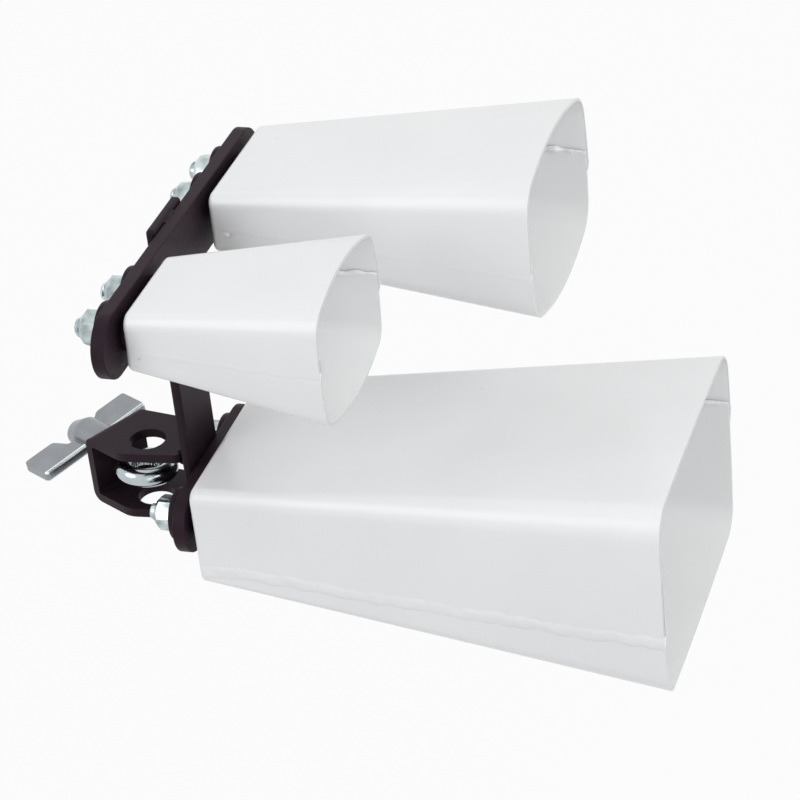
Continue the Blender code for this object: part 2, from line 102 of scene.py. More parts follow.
class BellSizes(PropertyGroup):
    paint: FloatVectorProperty(name="Paint", description="Colour of the bells' enamel", subtype="COLOR",
                               size=4, min=0, max=1, default=linear("#F4F4F5"))
    sheet: FloatProperty(name="Sheet", description="Thickness of the folded steel", unit="LENGTH",
                         default=1.3 * MM)
    bend: FloatProperty(name="End bend", description="Outer radius of the fold at the closed end",
                        unit="LENGTH", default=2.5 * MM)
    belly: FloatProperty(name="Belly", description="How far the sides bow out", unit="LENGTH",
                         default=1.2 * MM)
    rim: FloatProperty(name="Rim easing", description="Rounding of the sheet's cut edges", unit="LENGTH",
                       default=0.5 * MM)
    bead: FloatProperty(name="Seam bead", description="Radius of the weld along the side seams",
                        unit="LENGTH", default=2.6 * MM)


class FrameSizes(PropertyGroup):
    paint: FloatVectorProperty(name="Paint", description="Colour of the frame's enamel", subtype="COLOR",
                               size=4, min=0, max=1, default=linear("#241A20"))
    edge: FloatProperty(name="Edge", description="Rounding of the flat bar's edges", unit="LENGTH",
                        default=0.45 * MM)
    bead: FloatProperty(name="Weld bead", description="Radius of the frame's welds", unit="LENGTH",
                        default=1.8 * MM)


class HardwareSizes(PropertyGroup):
    zinc: FloatVectorProperty(name="Zinc", description="Colour of the plated nuts and bolts", subtype="COLOR",
                              size=4, min=0, max=1, default=linear("#D0DCDE"))
    nickel: FloatVectorProperty(name="Eye plating", description="Colour of the eyebolt's plating",
                                subtype="COLOR", size=4, min=0, max=1, default=linear("#BCC4C9"))
    cast: FloatVectorProperty(name="Cast zinc", description="Colour of the wing nut", subtype="COLOR", size=4,
                              min=0, max=1, default=linear("#989CA0"))
    thread: FloatProperty(name="Thread", description="Diameter of the bolts", unit="LENGTH", default=8 * MM)
    pitch: FloatProperty(name="Pitch", description="Advance of the thread in one turn", unit="LENGTH",
                         default=1.25 * MM)
    flats: FloatProperty(name="Across flats", description="Width of the nuts and bolt heads", unit="LENGTH",
                         default=13 * MM)
    eye_wire: FloatProperty(name="Eye wire", description="Thickness of the eye", unit="LENGTH",
                            default=8 * MM)


class StageSizes(PropertyGroup):
    floor: FloatVectorProperty(name="Floor", description="Colour of the floor", subtype="COLOR", size=4,
                               min=0, max=1, default=linear("#FFFFFF"))
    drop: FloatProperty(name="Drop", description="Height of the object above the floor", unit="LENGTH",
                        default=120 * MM)
    lens: FloatProperty(name="Lens", description="Focal length in millimetres", unit="CAMERA",
                        default=135.508)


# Small tools

def fill(tree, node, inputs):
    """Fills a node's inputs: a socket or a node's first output is linked, any other value is set."""
    for key, value in inputs.items():
        if isinstance(value, bpy.types.Node):
            value = value.outputs[0]
        if isinstance(value, bpy.types.NodeSocket):
            tree.links.new(value, node.inputs[key])
        else:
            node.inputs[key].default_value = value


def add(tree, kind, inputs=None, **settings):
    """Adds a node with its settings and links."""
    node = tree.nodes.new(kind)
    for key, value in settings.items():
        setattr(node, key, value)
    fill(tree, node, inputs or {})
    return node


def settled(obj, sharp=SHARP):
    """Turns an object's evaluated shape into its plain mesh, smooth up to an angle where one is given."""
    bpy.context.view_layer.update()
    graph = bpy.context.evaluated_depsgraph_get()
    mesh = bpy.data.meshes.new_from_object(obj.evaluated_get(graph))
    mesh.transform(obj.matrix_world)
    bpy.data.objects.remove(obj, do_unlink=True)
    if sharp is not None:
        mesh.shade_smooth()
        mesh.set_sharp_from_angle(angle=math.radians(sharp))
    return mesh


def blank(name, mesh):
    """An object that shows a mesh."""
    obj = bpy.data.objects.new(name, mesh)
    bpy.context.scene.collection.objects.link(obj)
    return obj


def mesh_of(name, shape):
    """A bmesh as a mesh."""
    mesh = bpy.data.meshes.new(name)
    shape.to_mesh(mesh)
    shape.free()
    return mesh


def piece(name, mesh, material, body=STATIC, replaces=()):
    """A finished piece at the origin that rides on its body."""
    mesh.materials.clear()
    mesh.materials.append(material)
    obj = blank(name, mesh)
    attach(obj, body)
    if replaces:
        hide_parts(*replaces)
    return obj


def combined(name, mesh, others, operation):
    """The mesh joined to or cut by other meshes."""
    obj = blank(name, mesh)
    helpers = []
    for other in others:
        helper = blank("helper", other)
        helpers.append(helper)
        boolean = obj.modifiers.new("cut", "BOOLEAN")
        boolean.operation = operation
        boolean.solver = "EXACT"
        boolean.object = helper
    result = settled(obj)
    for helper in helpers:
        bpy.data.objects.remove(helper, do_unlink=True)
    return result


def eased(name, mesh, width, segments=3, angle=32):
    """The mesh with its sharper edges rounded."""
    obj = blank(name, mesh)
    bevel = obj.modifiers.new("eased edges", "BEVEL")
    bevel.width = width
    bevel.segments = segments
    bevel.limit_method = "ANGLE"
    bevel.angle_limit = math.radians(angle)
    bevel.use_clamp_overlap = True
    return levelled(name, settled(obj, SHARP_EASED))


def levelled(name, mesh):
    """The mesh with its normals led by its larger faces, so that flats look flat."""
    obj = blank(name, mesh)
    flat = obj.modifiers.new("flat faces", "WEIGHTED_NORMAL")
    flat.keep_sharp = True
    flat.weight = 100
    return settled(obj, None)


def prism(name, outline, thickness, matrix):
    """A flat outline in XY raised by a thickness, then set in place."""
    shape = bmesh.new()
    face = shape.faces.new([shape.verts.new((x, y, 0)) for x, y in outline])
    if face.normal.z > 0:
        face.normal_flip()
    raised = bmesh.ops.extrude_face_region(shape, geom=[face])
    verts = [v for v in raised["geom"] if isinstance(v, bmesh.types.BMVert)]
    bmesh.ops.translate(shape, verts=verts, vec=(0, 0, thickness))
    bmesh.ops.recalc_face_normals(shape, faces=shape.faces)
    bmesh.ops.transform(shape, matrix=matrix, verts=shape.verts)
    return mesh_of(name, shape)


def turned(name, profile, matrix, steps=48, closed=False):
    """A (radius, height) profile spun about Z, then set in place."""
    shape = bmesh.new()
    rings = []
    for i in range(steps):
        angle = 2 * math.pi * i / steps
        cos, sin = math.cos(angle), math.sin(angle)
        rings.append([shape.verts.new((r * cos, r * sin, z)) for r, z in profile])
    span = len(profile) if closed else len(profile) - 1
    for i in range(steps):
        first, second = rings[i], rings[(i + 1) % steps]
        for k in range(span):
            n = (k + 1) % len(profile)
            shape.faces.new((first[k], first[n], second[n], second[k]))
    bmesh.ops.remove_doubles(shape, verts=shape.verts, dist=MERGE)
    bmesh.ops.dissolve_degenerate(shape, edges=shape.edges, dist=MERGE)
    bmesh.ops.recalc_face_normals(shape, faces=shape.faces)
    bmesh.ops.transform(shape, matrix=matrix, verts=shape.verts)
    return mesh_of(name, shape)


def drill(radius, reach, matrix, steps):
    """A round bar on Z that cuts a hole over a reach in millimetres."""
    low, high = [z * MM for z in reach]
    return turned("drill", [(0, high), (radius, high), (radius, low), (0, low)], matrix, steps)


def arc(centre, radius, start, end, steps):
    """Points on an arc between two angles in degrees."""
    angles = [math.radians(start + (end - start) * i / steps) for i in range(steps + 1)]
    return [(centre[0] + radius * math.cos(a), centre[1] + radius * math.sin(a)) for a in angles]


def oblong(wide, tall):
    """Corners of a rectangle from half its width and height."""
    return [(wide, -tall), (wide, tall), (-wide, tall), (-wide, -tall)]


def rounded(outline, cut, steps=6):
    """The outline with each corner turned into a curve that starts at the given distance from it."""
    points = []
    for i, corner in enumerate(outline):
        here = Vector(corner)
        before, after = [(Vector(outline[(i + k) % len(outline)]) - here).normalized() * cut
                         for k in (-1, 1)]
        for k in range(steps + 1):
            t = k / steps
            points.append(tuple(here + before * (1 - t) ** 2 + after * t ** 2))
    return points


def joined(name, meshes):
    """Several meshes as one."""
    shape = bmesh.new()
    for mesh in meshes:
        shape.from_mesh(mesh)
    return mesh_of(name, shape)


def facing(direction, up, place):
    """Matrix that puts local Z along a direction and local Y near up."""
    z = Vector(direction).normalized()
    x = Vector(up).cross(z).normalized()
    y = z.cross(x)
    return Matrix.Translation(place) @ Matrix((x, y, z)).transposed().to_4x4()


# Geometry node trees; a weld's points lie a step in millimetres apart, a thread's a part of a turn

BEAD_STEP, BEAD_SIDES, THREAD_STEPS, THREAD_SIDES = 0.7, 24, 40, 6


def new_tree(name, inputs):
    """A geometry tree with named inputs; returns it with its input node and the sockets by name."""
    tree = bpy.data.node_groups.new(name, "GeometryNodeTree")
    tree.interface.new_socket("Geometry", in_out="INPUT", socket_type="NodeSocketGeometry")
    tree.interface.new_socket("Geometry", in_out="OUTPUT", socket_type="NodeSocketGeometry")
    sockets = {}
    for label, kind in inputs.items():
        sockets[label] = tree.interface.new_socket(label, in_out="INPUT", socket_type=kind).identifier
    return tree, tree.nodes.new("NodeGroupInput"), sockets


def ended(tree, given, last):
    """The tree closed after its last node: instances made real and the material set."""
    real = add(tree, "GeometryNodeRealizeInstances", {"Geometry": last})
    finish = add(tree, "GeometryNodeSetMaterial", {"Geometry": real, "Material": given.outputs["Material"]})
    add(tree, "NodeGroupOutput", {"Geometry": finish})
    return tree


def grown(name, mesh, tree, sockets, values):
    """The plain mesh that a geometry tree makes from a start mesh."""
    obj = blank(name, mesh)
    modifier = obj.modifiers.new(tree.name, "NODES")
    modifier.node_group = tree
    for label, value in values.items():
        modifier[sockets[label]] = value
    return settled(obj, SHARP_GROWN)


def bead_tree():
    """A weld bead along the start mesh's edges: a lumpy tube with ripples."""
    tree, given, sockets = new_tree("weld bead", {
        "Radius": "NodeSocketFloat", "Flatness": "NodeSocketFloat", "Lump": "NodeSocketFloat",
        "Depth": "NodeSocketFloat", "Seed": "NodeSocketFloat", "Material": "NodeSocketMaterial"})
    path = add(tree, "GeometryNodeMeshToCurve", {"Mesh": given.outputs["Geometry"]})
    fine = add(tree, "GeometryNodeResampleCurve", {"Curve": path, "Length": BEAD_STEP * MM}, mode="LENGTH")
    upright = add(tree, "GeometryNodeSetCurveNormal", {"Curve": fine}, mode="Z_UP")
    ring = add(tree, "GeometryNodeCurvePrimitiveCircle", {
        "Resolution": BEAD_SIDES, "Radius": given.outputs["Radius"]})
    squash = add(tree, "ShaderNodeCombineXYZ", {"X": given.outputs["Flatness"], "Y": 1.0, "Z": 1.0})
    oval = add(tree, "GeometryNodeTransform", {"Geometry": ring, "Scale": squash})
    tube = add(tree, "GeometryNodeCurveToMesh", {
        "Curve": upright, "Profile Curve": oval, "Fill Caps": True})
    scale = add(tree, "ShaderNodeMath", {0: 1.0, 1: given.outputs["Lump"]}, operation="DIVIDE")
    noise = add(tree, "ShaderNodeTexNoise", {
        "Scale": scale, "Detail": 1.5, "W": given.outputs["Seed"]}, noise_dimensions="4D")
    lift = add(tree, "ShaderNodeMath", {0: noise, 1: 0.5}, operation="SUBTRACT")
    depth = add(tree, "ShaderNodeMath", {0: lift, 1: given.outputs["Depth"]}, operation="MULTIPLY")
    normal = add(tree, "GeometryNodeInputNormal")
    push = add(tree, "ShaderNodeVectorMath", {0: normal, "Scale": depth}, operation="SCALE")
    lumpy = add(tree, "GeometryNodeSetPosition", {"Geometry": tube, "Offset": push})
    return ended(tree, given, lumpy), sockets


def set_tree():
    """One copy of a piece at each of the start mesh's points."""
    tree, given, sockets = new_tree("bolt set", {
        "Piece": "NodeSocketObject", "Turn step": "NodeSocketFloat", "Material": "NodeSocketMaterial"})
    info = add(tree, "GeometryNodeObjectInfo", {"Object": given.outputs["Piece"]},
               transform_space="ORIGINAL")
    index = add(tree, "GeometryNodeInputIndex")
    turn = add(tree, "ShaderNodeMath", {0: index, 1: given.outputs["Turn step"]}, operation="MULTIPLY")
    spin = add(tree, "ShaderNodeCombineXYZ", {"X": turn})
    copies = add(tree, "GeometryNodeInstanceOnPoints", {
        "Points": given.outputs["Geometry"], "Instance": info.outputs["Geometry"], "Rotation": spin})
    return ended(tree, given, copies), sockets


def thread_tree():
    """A screw thread on Z from z = 0 up: a ridge wound on a spiral."""
    tree, given, sockets = new_tree("screw thread", {
        "Radius": "NodeSocketFloat", "Pitch": "NodeSocketFloat", "Length": "NodeSocketFloat",
        "Material": "NodeSocketMaterial"})
    turns = add(tree, "ShaderNodeMath", {0: given.outputs["Length"], 1: given.outputs["Pitch"]},
                operation="DIVIDE")
    half = add(tree, "ShaderNodeMath", {0: given.outputs["Pitch"], 1: 0.5}, operation="MULTIPLY")
    root = add(tree, "ShaderNodeMath", {0: given.outputs["Radius"], 1: half}, operation="SUBTRACT")
    spiral = add(tree, "GeometryNodeCurveSpiral", {
        "Resolution": THREAD_STEPS, "Rotations": turns, "Start Radius": root,
        "End Radius": root, "Height": given.outputs["Length"]})
    crest = add(tree, "GeometryNodeCurvePrimitiveCircle", {"Resolution": THREAD_SIDES, "Radius": half})
    ridge = add(tree, "GeometryNodeCurveToMesh", {
        "Curve": spiral, "Profile Curve": crest, "Fill Caps": True})
    both = add(tree, "GeometryNodeJoinGeometry", {"Geometry": given.outputs["Geometry"]})
    fill(tree, both, {"Geometry": ridge})
    return ended(tree, given, both), sockets


# Materials: the fixed colours, the patterns' sizes in millimetres, the specks' radius as a share of their
# spacing and the light left in the white's slow cast. The black's grit and the metals' grain are drawn
# coarser than the real ones, which are too fine to show in a render.

# The second colour is painted shade for the bells' front-facing mouth rims
DIRT, RIM_PAINTED_SHADE = linear("#9A9A98"), linear("#D3D4D6")
BROWN_CLOUD, BLACK_SHEEN = linear("#2B1F25"), linear("#E2C6E2")
# Painted highlight colour for the wing nut's rounded inner edges
EDGE_PAINTED_HIGHLIGHT = linear("#E4E9EB")
PAINT_CAST, ORANGE_PEEL, SPECK_SPACING = 45, 2.2, 19
SPECK_SHARE, CAST_SHADE = 0.022, 0.972
GRIT, CLOUD = 0.8, 14
METAL_GRAIN, ZINC_PATCH, SMOOTH_PATCH = 0.5, 5, 9


def shaded(colour, share):
    """A colour darkened to a share of its light."""
    return tuple(c * share for c in colour[:3]) + (1.0,)


def finish_of(name, make, **values):
    """The named finish, made once."""
    material = bpy.data.materials.get(name)
    if material is None:
        material = bpy.data.materials.new(name)
        material.use_nodes = True
        shader = material.node_tree.nodes["Principled BSDF"]
        place = add(material.node_tree, "ShaderNodeTexCoord").outputs["Object"]
        make(material.node_tree, shader, place, **values)
    return material


def white_enamel(tree, shader, place, paint):
    """Sprayed white enamel on steel: glossy, with faint orange peel, a slow cast, specks and painted shade on
    the mouth's rims.
    """
    slow = add(tree, "ShaderNodeTexNoise", {"Vector": place, "Scale": 1 / (PAINT_CAST * MM), "Detail": 2.0})
    peel = add(tree, "ShaderNodeTexNoise", {"Vector": place, "Scale": 1 / (ORANGE_PEEL * MM), "Detail": 2.0})
    cells = add(tree, "ShaderNodeTexVoronoi", {"Vector": place, "Scale": 1 / (SPECK_SPACING * MM)})
    speck = add(tree, "ShaderNodeMath", {0: cells.outputs["Distance"], 1: SPECK_SHARE}, operation="LESS_THAN")
    depth = add(tree, "ShaderNodeMapRange", {"Value": slow, "From Min": 0.35, "From Max": 0.7})
    cast = add(tree, "ShaderNodeMix", {"Factor": depth, 6: paint, 7: shaded(paint, CAST_SHADE)},
               data_type="RGBA")
    faint = add(tree, "ShaderNodeMapRange", {"Value": speck, "To Max": 0.4})
    dirt = add(tree, "ShaderNodeMix", {"Factor": faint, 6: cast.outputs[2], 7: DIRT}, data_type="RGBA")
    # Painted shade: the mouth rims' front-facing faces are darkened towards a grey
    thin_paint_and_rim_shade = add(tree, "ShaderNodeAttribute", attribute_name="thin_paint_and_rim_shade").outputs["Fac"]
    rim = add(tree, "ShaderNodeMix", {"Factor": thin_paint_and_rim_shade, 6: dirt.outputs[2], 7: RIM_PAINTED_SHADE}, data_type="RGBA")
    gloss = add(tree, "ShaderNodeMapRange", {"Value": slow, "To Min": 0.24, "To Max": 0.36})
    rough = add(tree, "ShaderNodeBump", {"Height": peel, "Strength": 0.12, "Distance": 0.12 * MM})
    wave = add(tree, "ShaderNodeBump", {"Height": slow, "Strength": 0.25, "Distance": 0.5 * MM,
                                        "Normal": rough})
    fill(tree, shader, {"Base Color": rim.outputs[2], "Roughness": gloss, "Normal": wave,
                        "IOR": 1.5, "Coat Weight": 0.25, "Coat Roughness": 0.12})


def black_enamel(tree, shader, place, paint):
    """Black stoving enamel on bar: satin, slightly brown, with fine grit and spots of thinner paint."""
    grit = add(tree, "ShaderNodeTexNoise", {"Vector": place, "Scale": 1 / (GRIT * MM), "Detail": 3.0})
    cloud = add(tree, "ShaderNodeTexNoise", {"Vector": place, "Scale": 1 / (CLOUD * MM), "Detail": 3.0})
    thin_paint_and_rim_shade = add(tree, "ShaderNodeMapRange", {"Value": cloud, "From Min": 0.4, "From Max": 0.7})
    tone = add(tree, "ShaderNodeMix", {"Factor": thin_paint_and_rim_shade, 6: paint, 7: BROWN_CLOUD}, data_type="RGBA")
    gloss = add(tree, "ShaderNodeMapRange", {"Value": cloud, "To Min": 0.42, "To Max": 0.58})
    bump = add(tree, "ShaderNodeBump", {"Height": grit, "Strength": 0.8, "Distance": 0.15 * MM})
    fill(tree, shader, {"Base Color": tone.outputs[2], "Roughness": gloss, "Normal": bump,
                        "Specular IOR Level": 0.18, "Specular Tint": BLACK_SHEEN})


def plated(tree, shader, place, colour, low, high, grain, patch_size, dull):
    """Plated or cast metal: its tone and gloss vary in soft patches, over a fine grain."""
    patch = add(tree, "ShaderNodeTexNoise", {"Vector": place, "Scale": 1 / (patch_size * MM), "Detail": 2.0})
    fine = add(tree, "ShaderNodeTexNoise", {"Vector": place, "Scale": 1 / (METAL_GRAIN * MM), "Detail": 1.0})
    depth = add(tree, "ShaderNodeMapRange", {"Value": patch, "From Min": 0.35, "From Max": 0.7})
    tone = add(tree, "ShaderNodeMix", {"Factor": depth, 6: colour, 7: shaded(colour, dull)},
               data_type="RGBA")
    gloss = add(tree, "ShaderNodeMapRange", {"Value": patch, "From Min": 0.3, "From Max": 0.7,
                                             "To Min": low, "To Max": high})
    bump = add(tree, "ShaderNodeBump", {"Height": fine, "Strength": grain, "Distance": 0.05 * MM})
    fill(tree, shader, {"Base Color": tone.outputs[2], "Roughness": gloss, "Normal": bump, "Metallic": 1.0})


def cast_with_painted_highlights(tree, shader, place, **values):
    """Cast zinc: a plated look, with a painted highlight on the wings' marked inner edges."""
    plated(tree, shader, place, **values)
    tone = shader.inputs["Base Color"].links[0].from_socket
    # Painted highlight: the marked edges are mixed towards a near-white
    painted_highlight_mask = add(tree, "ShaderNodeAttribute", attribute_name="painted_highlight_mask").outputs["Fac"]
    edge = add(tree, "ShaderNodeMix", {"Factor": painted_highlight_mask, 6: tone, 7: EDGE_PAINTED_HIGHLIGHT}, data_type="RGBA")
    fill(tree, shader, {"Base Color": edge.outputs[2]})


def white_paint(context):
    """Paint of the bells and their seams."""
    return finish_of("white sprayed enamel", white_enamel, paint=tuple(context.scene.cowbell_bells.paint))


def black_paint(context):
    """Paint of the frame, the black washers and the spacers."""
    return finish_of("black stoving enamel", black_enamel, paint=tuple(context.scene.cowbell_frame.paint))


def zinc_plate(context):
    """Plating of the bolts, nuts and plain washers: bright, in small dull patches."""
    return finish_of("bright zinc plate", plated, colour=tuple(context.scene.cowbell_hardware.zinc),
                     low=0.13, high=0.24, grain=0.08, patch_size=ZINC_PATCH, dull=0.5)


def eye_plate(context):
    """Plating of the eyebolt: smoother and more even than the zinc."""
    return finish_of("bright nickel plate", plated, colour=tuple(context.scene.cowbell_hardware.nickel),
                     low=0.15, high=0.2, grain=0.02, patch_size=SMOOTH_PATCH, dull=0.86)


def cast_zinc(context):
    """Metal of the wing nut: grey and soft in its shine, with painted highlights on the wings' inner edges.
    """
    return finish_of("cast zinc with painted edge highlights", cast_with_painted_highlights, colour=tuple(context.scene.cowbell_hardware.cast),
                     low=0.22, high=0.3, grain=0.02, patch_size=SMOOTH_PATCH, dull=0.86)


# Bells in millimetres: closed end and mouth (width, height, corner) and the lower sheet's own corners, crown
# of the top, seam heights as shares of the side, flap behind the near seam, drop of that seam at the closed
# end, lean of the closed end and gape of the flaps at the mouth; then the weld: how proud it stands outside,
# how far the lower sheet sits back below it, how rough it is inside and its width in usual beads
BELLS = {
    "large": dict(end=(90.6, 43.9, 5.6), mouth=(128.0, 87.0, 13.0), foot=(2.6, 12.0), crown=1.0,
                  near_seam=(-0.76, -0.42), far_seam=(0.45, 0.33), near_lap=26.0, dip=3.4, lean=0.0,
                  gape=0.9, proud=0.3, flush=0.2, rough=0.8, bead=1.35),
    "medium": dict(end=(66.4, 26.9, 5.3), mouth=(90.8, 61.1, 13.5), foot=(4.5, 13.0), crown=5.0,
                   near_seam=(-0.05, -0.35), far_seam=(0.05, -0.25), near_lap=2.0, dip=0.0, lean=0.5,
                   gape=1.2, proud=0.05, flush=0.03, rough=3.0, bead=1.0),
    "small": dict(end=(51.4, 26.0, 5.8), mouth=(71.7, 49.8, 10.3), foot=(5.8, 8.0), crown=4.5,
                  near_seam=(-0.15, 0.05), far_seam=(0.05, -0.15), near_lap=6.0, dip=0.0, lean=1.2,
                  gape=0.3, proud=0.06, flush=0.04, rough=0.6, bead=1.0),
}
# In millimetres: how far the flaps lie inside, their height and the length of their step, the width over
# which a side's inset fades at the middle, the reach of the end's lean and the least corner in its bend
LAP, SEAM_LAP, LAP_STEP, INSET_FADE, LEAN_REACH, LEAST_CORNER = 1.8, 6.0, 1.5, 10, 25, 0.4
# As shares of the length: where the flaps start, where they gape and how far the near seam's drop reaches
LAP_START, GAPE_START, DIP_REACH = 0.06, 0.86, 0.14
# The cut edges' waves: height in mm, rate and phase
WANDER = ((0.28, 29, 0), (0.22, 71, 1))
SIDE_POINTS, FOLD_POINTS, TOP_POINTS = 20, 10, 24
BEND_ROWS, FLARE_ROWS = 8, 48
# The mouth's cut edge that takes painted shade: its depth in mm and how far its faces turn to the front; the
# inner end wall in mm
RIM_DEPTH, RIM_TURN, RIM_ANGLE = 1.5, 0.3, 60
DOUBLER, DOUBLER_CORNER = 2.0, 4
# Seam welds in mm: the bead's line below the cut edge, its lumps' length and their height in proud parts;
# inside, the bead's radius, lumps and place on the flap, its start as a share of the mouth's X and its end
SEAM_FLATNESS, SEAM_DROP, SEAM_LUMP, SEAM_WAVE = 0.25, 0.7, 6, 4
FLAP_BEAD, FLAP_LUMP, FLAP_IN, FLAP_DOWN, FLAP_FROM, FLAP_SHORT = 1.0, 4, 0.9, 0.3, 0.4, 3.5


def sheet_section(width, height, corner, crown, belly, near_edge, far_edge):
    """Points (y, z) in mm over a bell's top from the near flap's edge to the far one's."""
    flat, rise = width / 2 - corner, height / 2 - corner

    def side(z):
        share = z / rise
        outward = Vector((1, 2 * belly * share / rise)).normalized()
        return flat + belly * (1 - share * share) + corner * outward.x, z + corner * outward.y

    low, high = math.atan2(2 * belly, rise), math.pi / 2 - math.atan2(2 * crown, flat)
    turn = [low + (high - low) * i / FOLD_POINTS for i in range(FOLD_POINTS + 1)]
    fold = [(flat + corner * math.cos(a), rise + corner * math.sin(a)) for a in turn]
    top = []
    for i in range(1, TOP_POINTS):
        share = 2 * i / TOP_POINTS - 1
        outward = Vector((2 * crown * share / flat, 1)).normalized()
        bow = crown * (1 - share * share)
        top.append((flat * share + corner * outward.x, rise + bow + corner * outward.y))
    near, far = [[side(edge + (rise - edge) * i / SIDE_POINTS) for i in range(SIDE_POINTS)]
                 for edge in (near_edge, far_edge)]
    return [(-y, z) for y, z in near] + [(-y, z) for y, z in fold] + top + fold[::-1] + far[::-1]


def seam_edges(bell, share, inner):
    """Heights of a sheet's near and far edges; the cut edge wanders and the inner flap laps behind it."""
    height, corner = [a + (b - a) * share for a, b in zip(bell["end"][1:], bell["mouth"][1:])]
    wander = sum(size * math.sin(rate * share + phase) for size, rate, phase in WANDER)
    drop = bell["dip"] * max(0.0, 1 - share / DIP_REACH) ** 2
    edges = []
    for seam, lap, fall in ((bell["near_seam"], bell["near_lap"], drop),
                            (bell["far_seam"], SEAM_LAP, 0.0)):
        edge = (seam[0] + (seam[1] - seam[0]) * share) * (height / 2 - corner) + wander - fall
        flap = SEAM_LAP + (lap - SEAM_LAP) * share if share > LAP_START else 0.0
        edges.append(-(edge + flap) if inner else edge)
    return edges


def tucked(points, bell, share):
    """The lower sheet's points: its near side steps in behind the seam, its far side lies inside."""
    near_edge = seam_edges(bell, share, False)[0]
    gape = bell["gape"] * max(0.0, (share - GAPE_START) / (1 - GAPE_START)) ** 2
    behind = (LAP - bell["flush"]) * min(share / LAP_START, 1.0) + gape
    moved = []
    for y, z in points:
        step = min(max((-z - near_edge) / LAP_STEP + 1, 0.0), 1.0) if y < 0 else 1.0
        inset = (bell["flush"] + behind * step) * min(abs(y) / INSET_FADE, 1.0)
        moved.append((y - math.copysign(inset, y), z))
    return moved


def sheet_rows(bell, start, mouth, bend, belly, inner):
    """Rows (x, points) in mm of a sheet's outer face from its end wall to the mouth."""
    end, open_end = bell["end"], bell["mouth"]
    if inner:
        end, open_end = end[:2] + bell["foot"][:1], open_end[:2] + bell["foot"][1:]
    rows = []

    def add_row(x, share, *section):
        points = sheet_section(*section, *seam_edges(bell, share, inner))
        rows.append((x, tucked(points, bell, share) if inner else points))

    for i in range(BEND_ROWS):
        angle = math.pi / 2 * i / BEND_ROWS
        tuck = bend - bend * math.sin(angle)
        corner = max(end[2] - tuck, LEAST_CORNER)
        add_row(start + bend - bend * math.cos(angle), 0, end[0] - 2 * tuck, end[1] - 2 * tuck, corner, 0, 0)
    for i in range(FLARE_ROWS + 1):
        share = i / FLARE_ROWS
        section = [a + (b - a) * share for a, b in zip(end, open_end)]
        add_row(start + bend + (mouth - start - bend) * share, share, *section, bell["crown"] * share,
                belly * share)
    return rows


def sheet_surface(name, rows, centre, side, bell):
    """The open surface of one sheet, its faces pointing out; the closed end leans back at its foot."""
    shape = bmesh.new()
    start = rows[0][0]

    def spot(x, y, z):
        low = max(0.5 - side * z / bell["end"][1], 0.0) ** 3 * max(0.0, 1 - (x - start) / LEAN_REACH)
        back = bell["lean"] * min(low, 1.0)
        return Vector(((x - back) * MM, centre.y + y * MM, centre.z + side * z * MM))

    grid = [[shape.verts.new(spot(x, y, z)) for y, z in points] for x, points in rows]
    for first, second in zip(grid, grid[1:]):
        for i in range(len(first) - 1):
            shape.faces.new((first[i], first[i + 1], second[i + 1], second[i]))
    shape.faces.new(grid[0])
    bmesh.ops.recalc_face_normals(shape, faces=shape.faces)
    wall = min(shape.faces, key=lambda face: face.calc_center_median().x)
    if wall.normal.x > 0:
        bmesh.ops.reverse_faces(shape, faces=shape.faces)
    return mesh_of(name, shape)


def bell_axis(name):
    """Start and mouth in mm along X and the centre line of a bell, read from its upper sheet and bolts."""
    low, high, _ = box_of(name + "_bell_upper_sheet")
    near = box_of(name + "_bell_near_bolt")[2]
    far = box_of(name + "_bell_far_bolt")[2]
    return low.x / MM, high.x / MM, (near + far) / 2


class COWBELL_OT_bells(Operator):
    """Folds the two painted sheets of each bell"""
    bl_idname = "cowbell.bells"
    bl_label = "Bell sheets"

    def execute(self, context):
        sizes = context.scene.cowbell_bells
        for name, bell in BELLS.items():
            start, mouth, centre = bell_axis(name)
            for which, inner in (("upper", False), ("lower", True)):
                node = name + "_bell_" + which + "_sheet"
                rows = sheet_rows(bell, start, mouth, sizes.bend / MM, sizes.belly / MM, inner)
                obj = blank(node, sheet_surface(node, rows, centre, -1 if inner else 1, bell))
                wall = obj.modifiers.new("sheet", "SOLIDIFY")
                wall.thickness = sizes.sheet
                wall.offset = -1
                wall.use_even_offset = True
                wall.use_quality_normals = True
                mesh = eased(node, settled(obj), sizes.rim, angle=RIM_ANGLE)
                if inner:
                    mesh = joined(node, [mesh, self.doubler(bell, start * MM + sizes.sheet, centre)])
                # The front-facing cut edge at the mouth is marked for painted shade
                self.thin_paint_and_rim_shade(mesh, (mouth - RIM_DEPTH) * MM)
                piece(node + "_painted", mesh, white_paint(context), replaces=[node])
        return {"FINISHED"}

    def thin_paint_and_rim_shade(self, mesh, rim):
        """Marks the mouth's front-facing cut edge, where the paint is darkened as painted shade."""
        mark = mesh.attributes.new("thin_paint_and_rim_shade", "FLOAT", "FACE")
        for face in mesh.polygons:
            mark.data[face.index].value = float(face.center.x > rim and face.normal.x > RIM_TURN)

    def doubler(self, bell, back, centre):
        """The lower sheet's end wall, which lies inside the upper one's."""
        outline = rounded(oblong(bell["end"][0] / 2 - LAP, bell["end"][1] / 2 - LAP), DOUBLER_CORNER)
        place = facing(X_AXIS, Z_AXIS, (back, centre.y, centre.z))
        return prism("doubler", [(y * MM, z * MM) for y, z in outline], DOUBLER * MM, place)


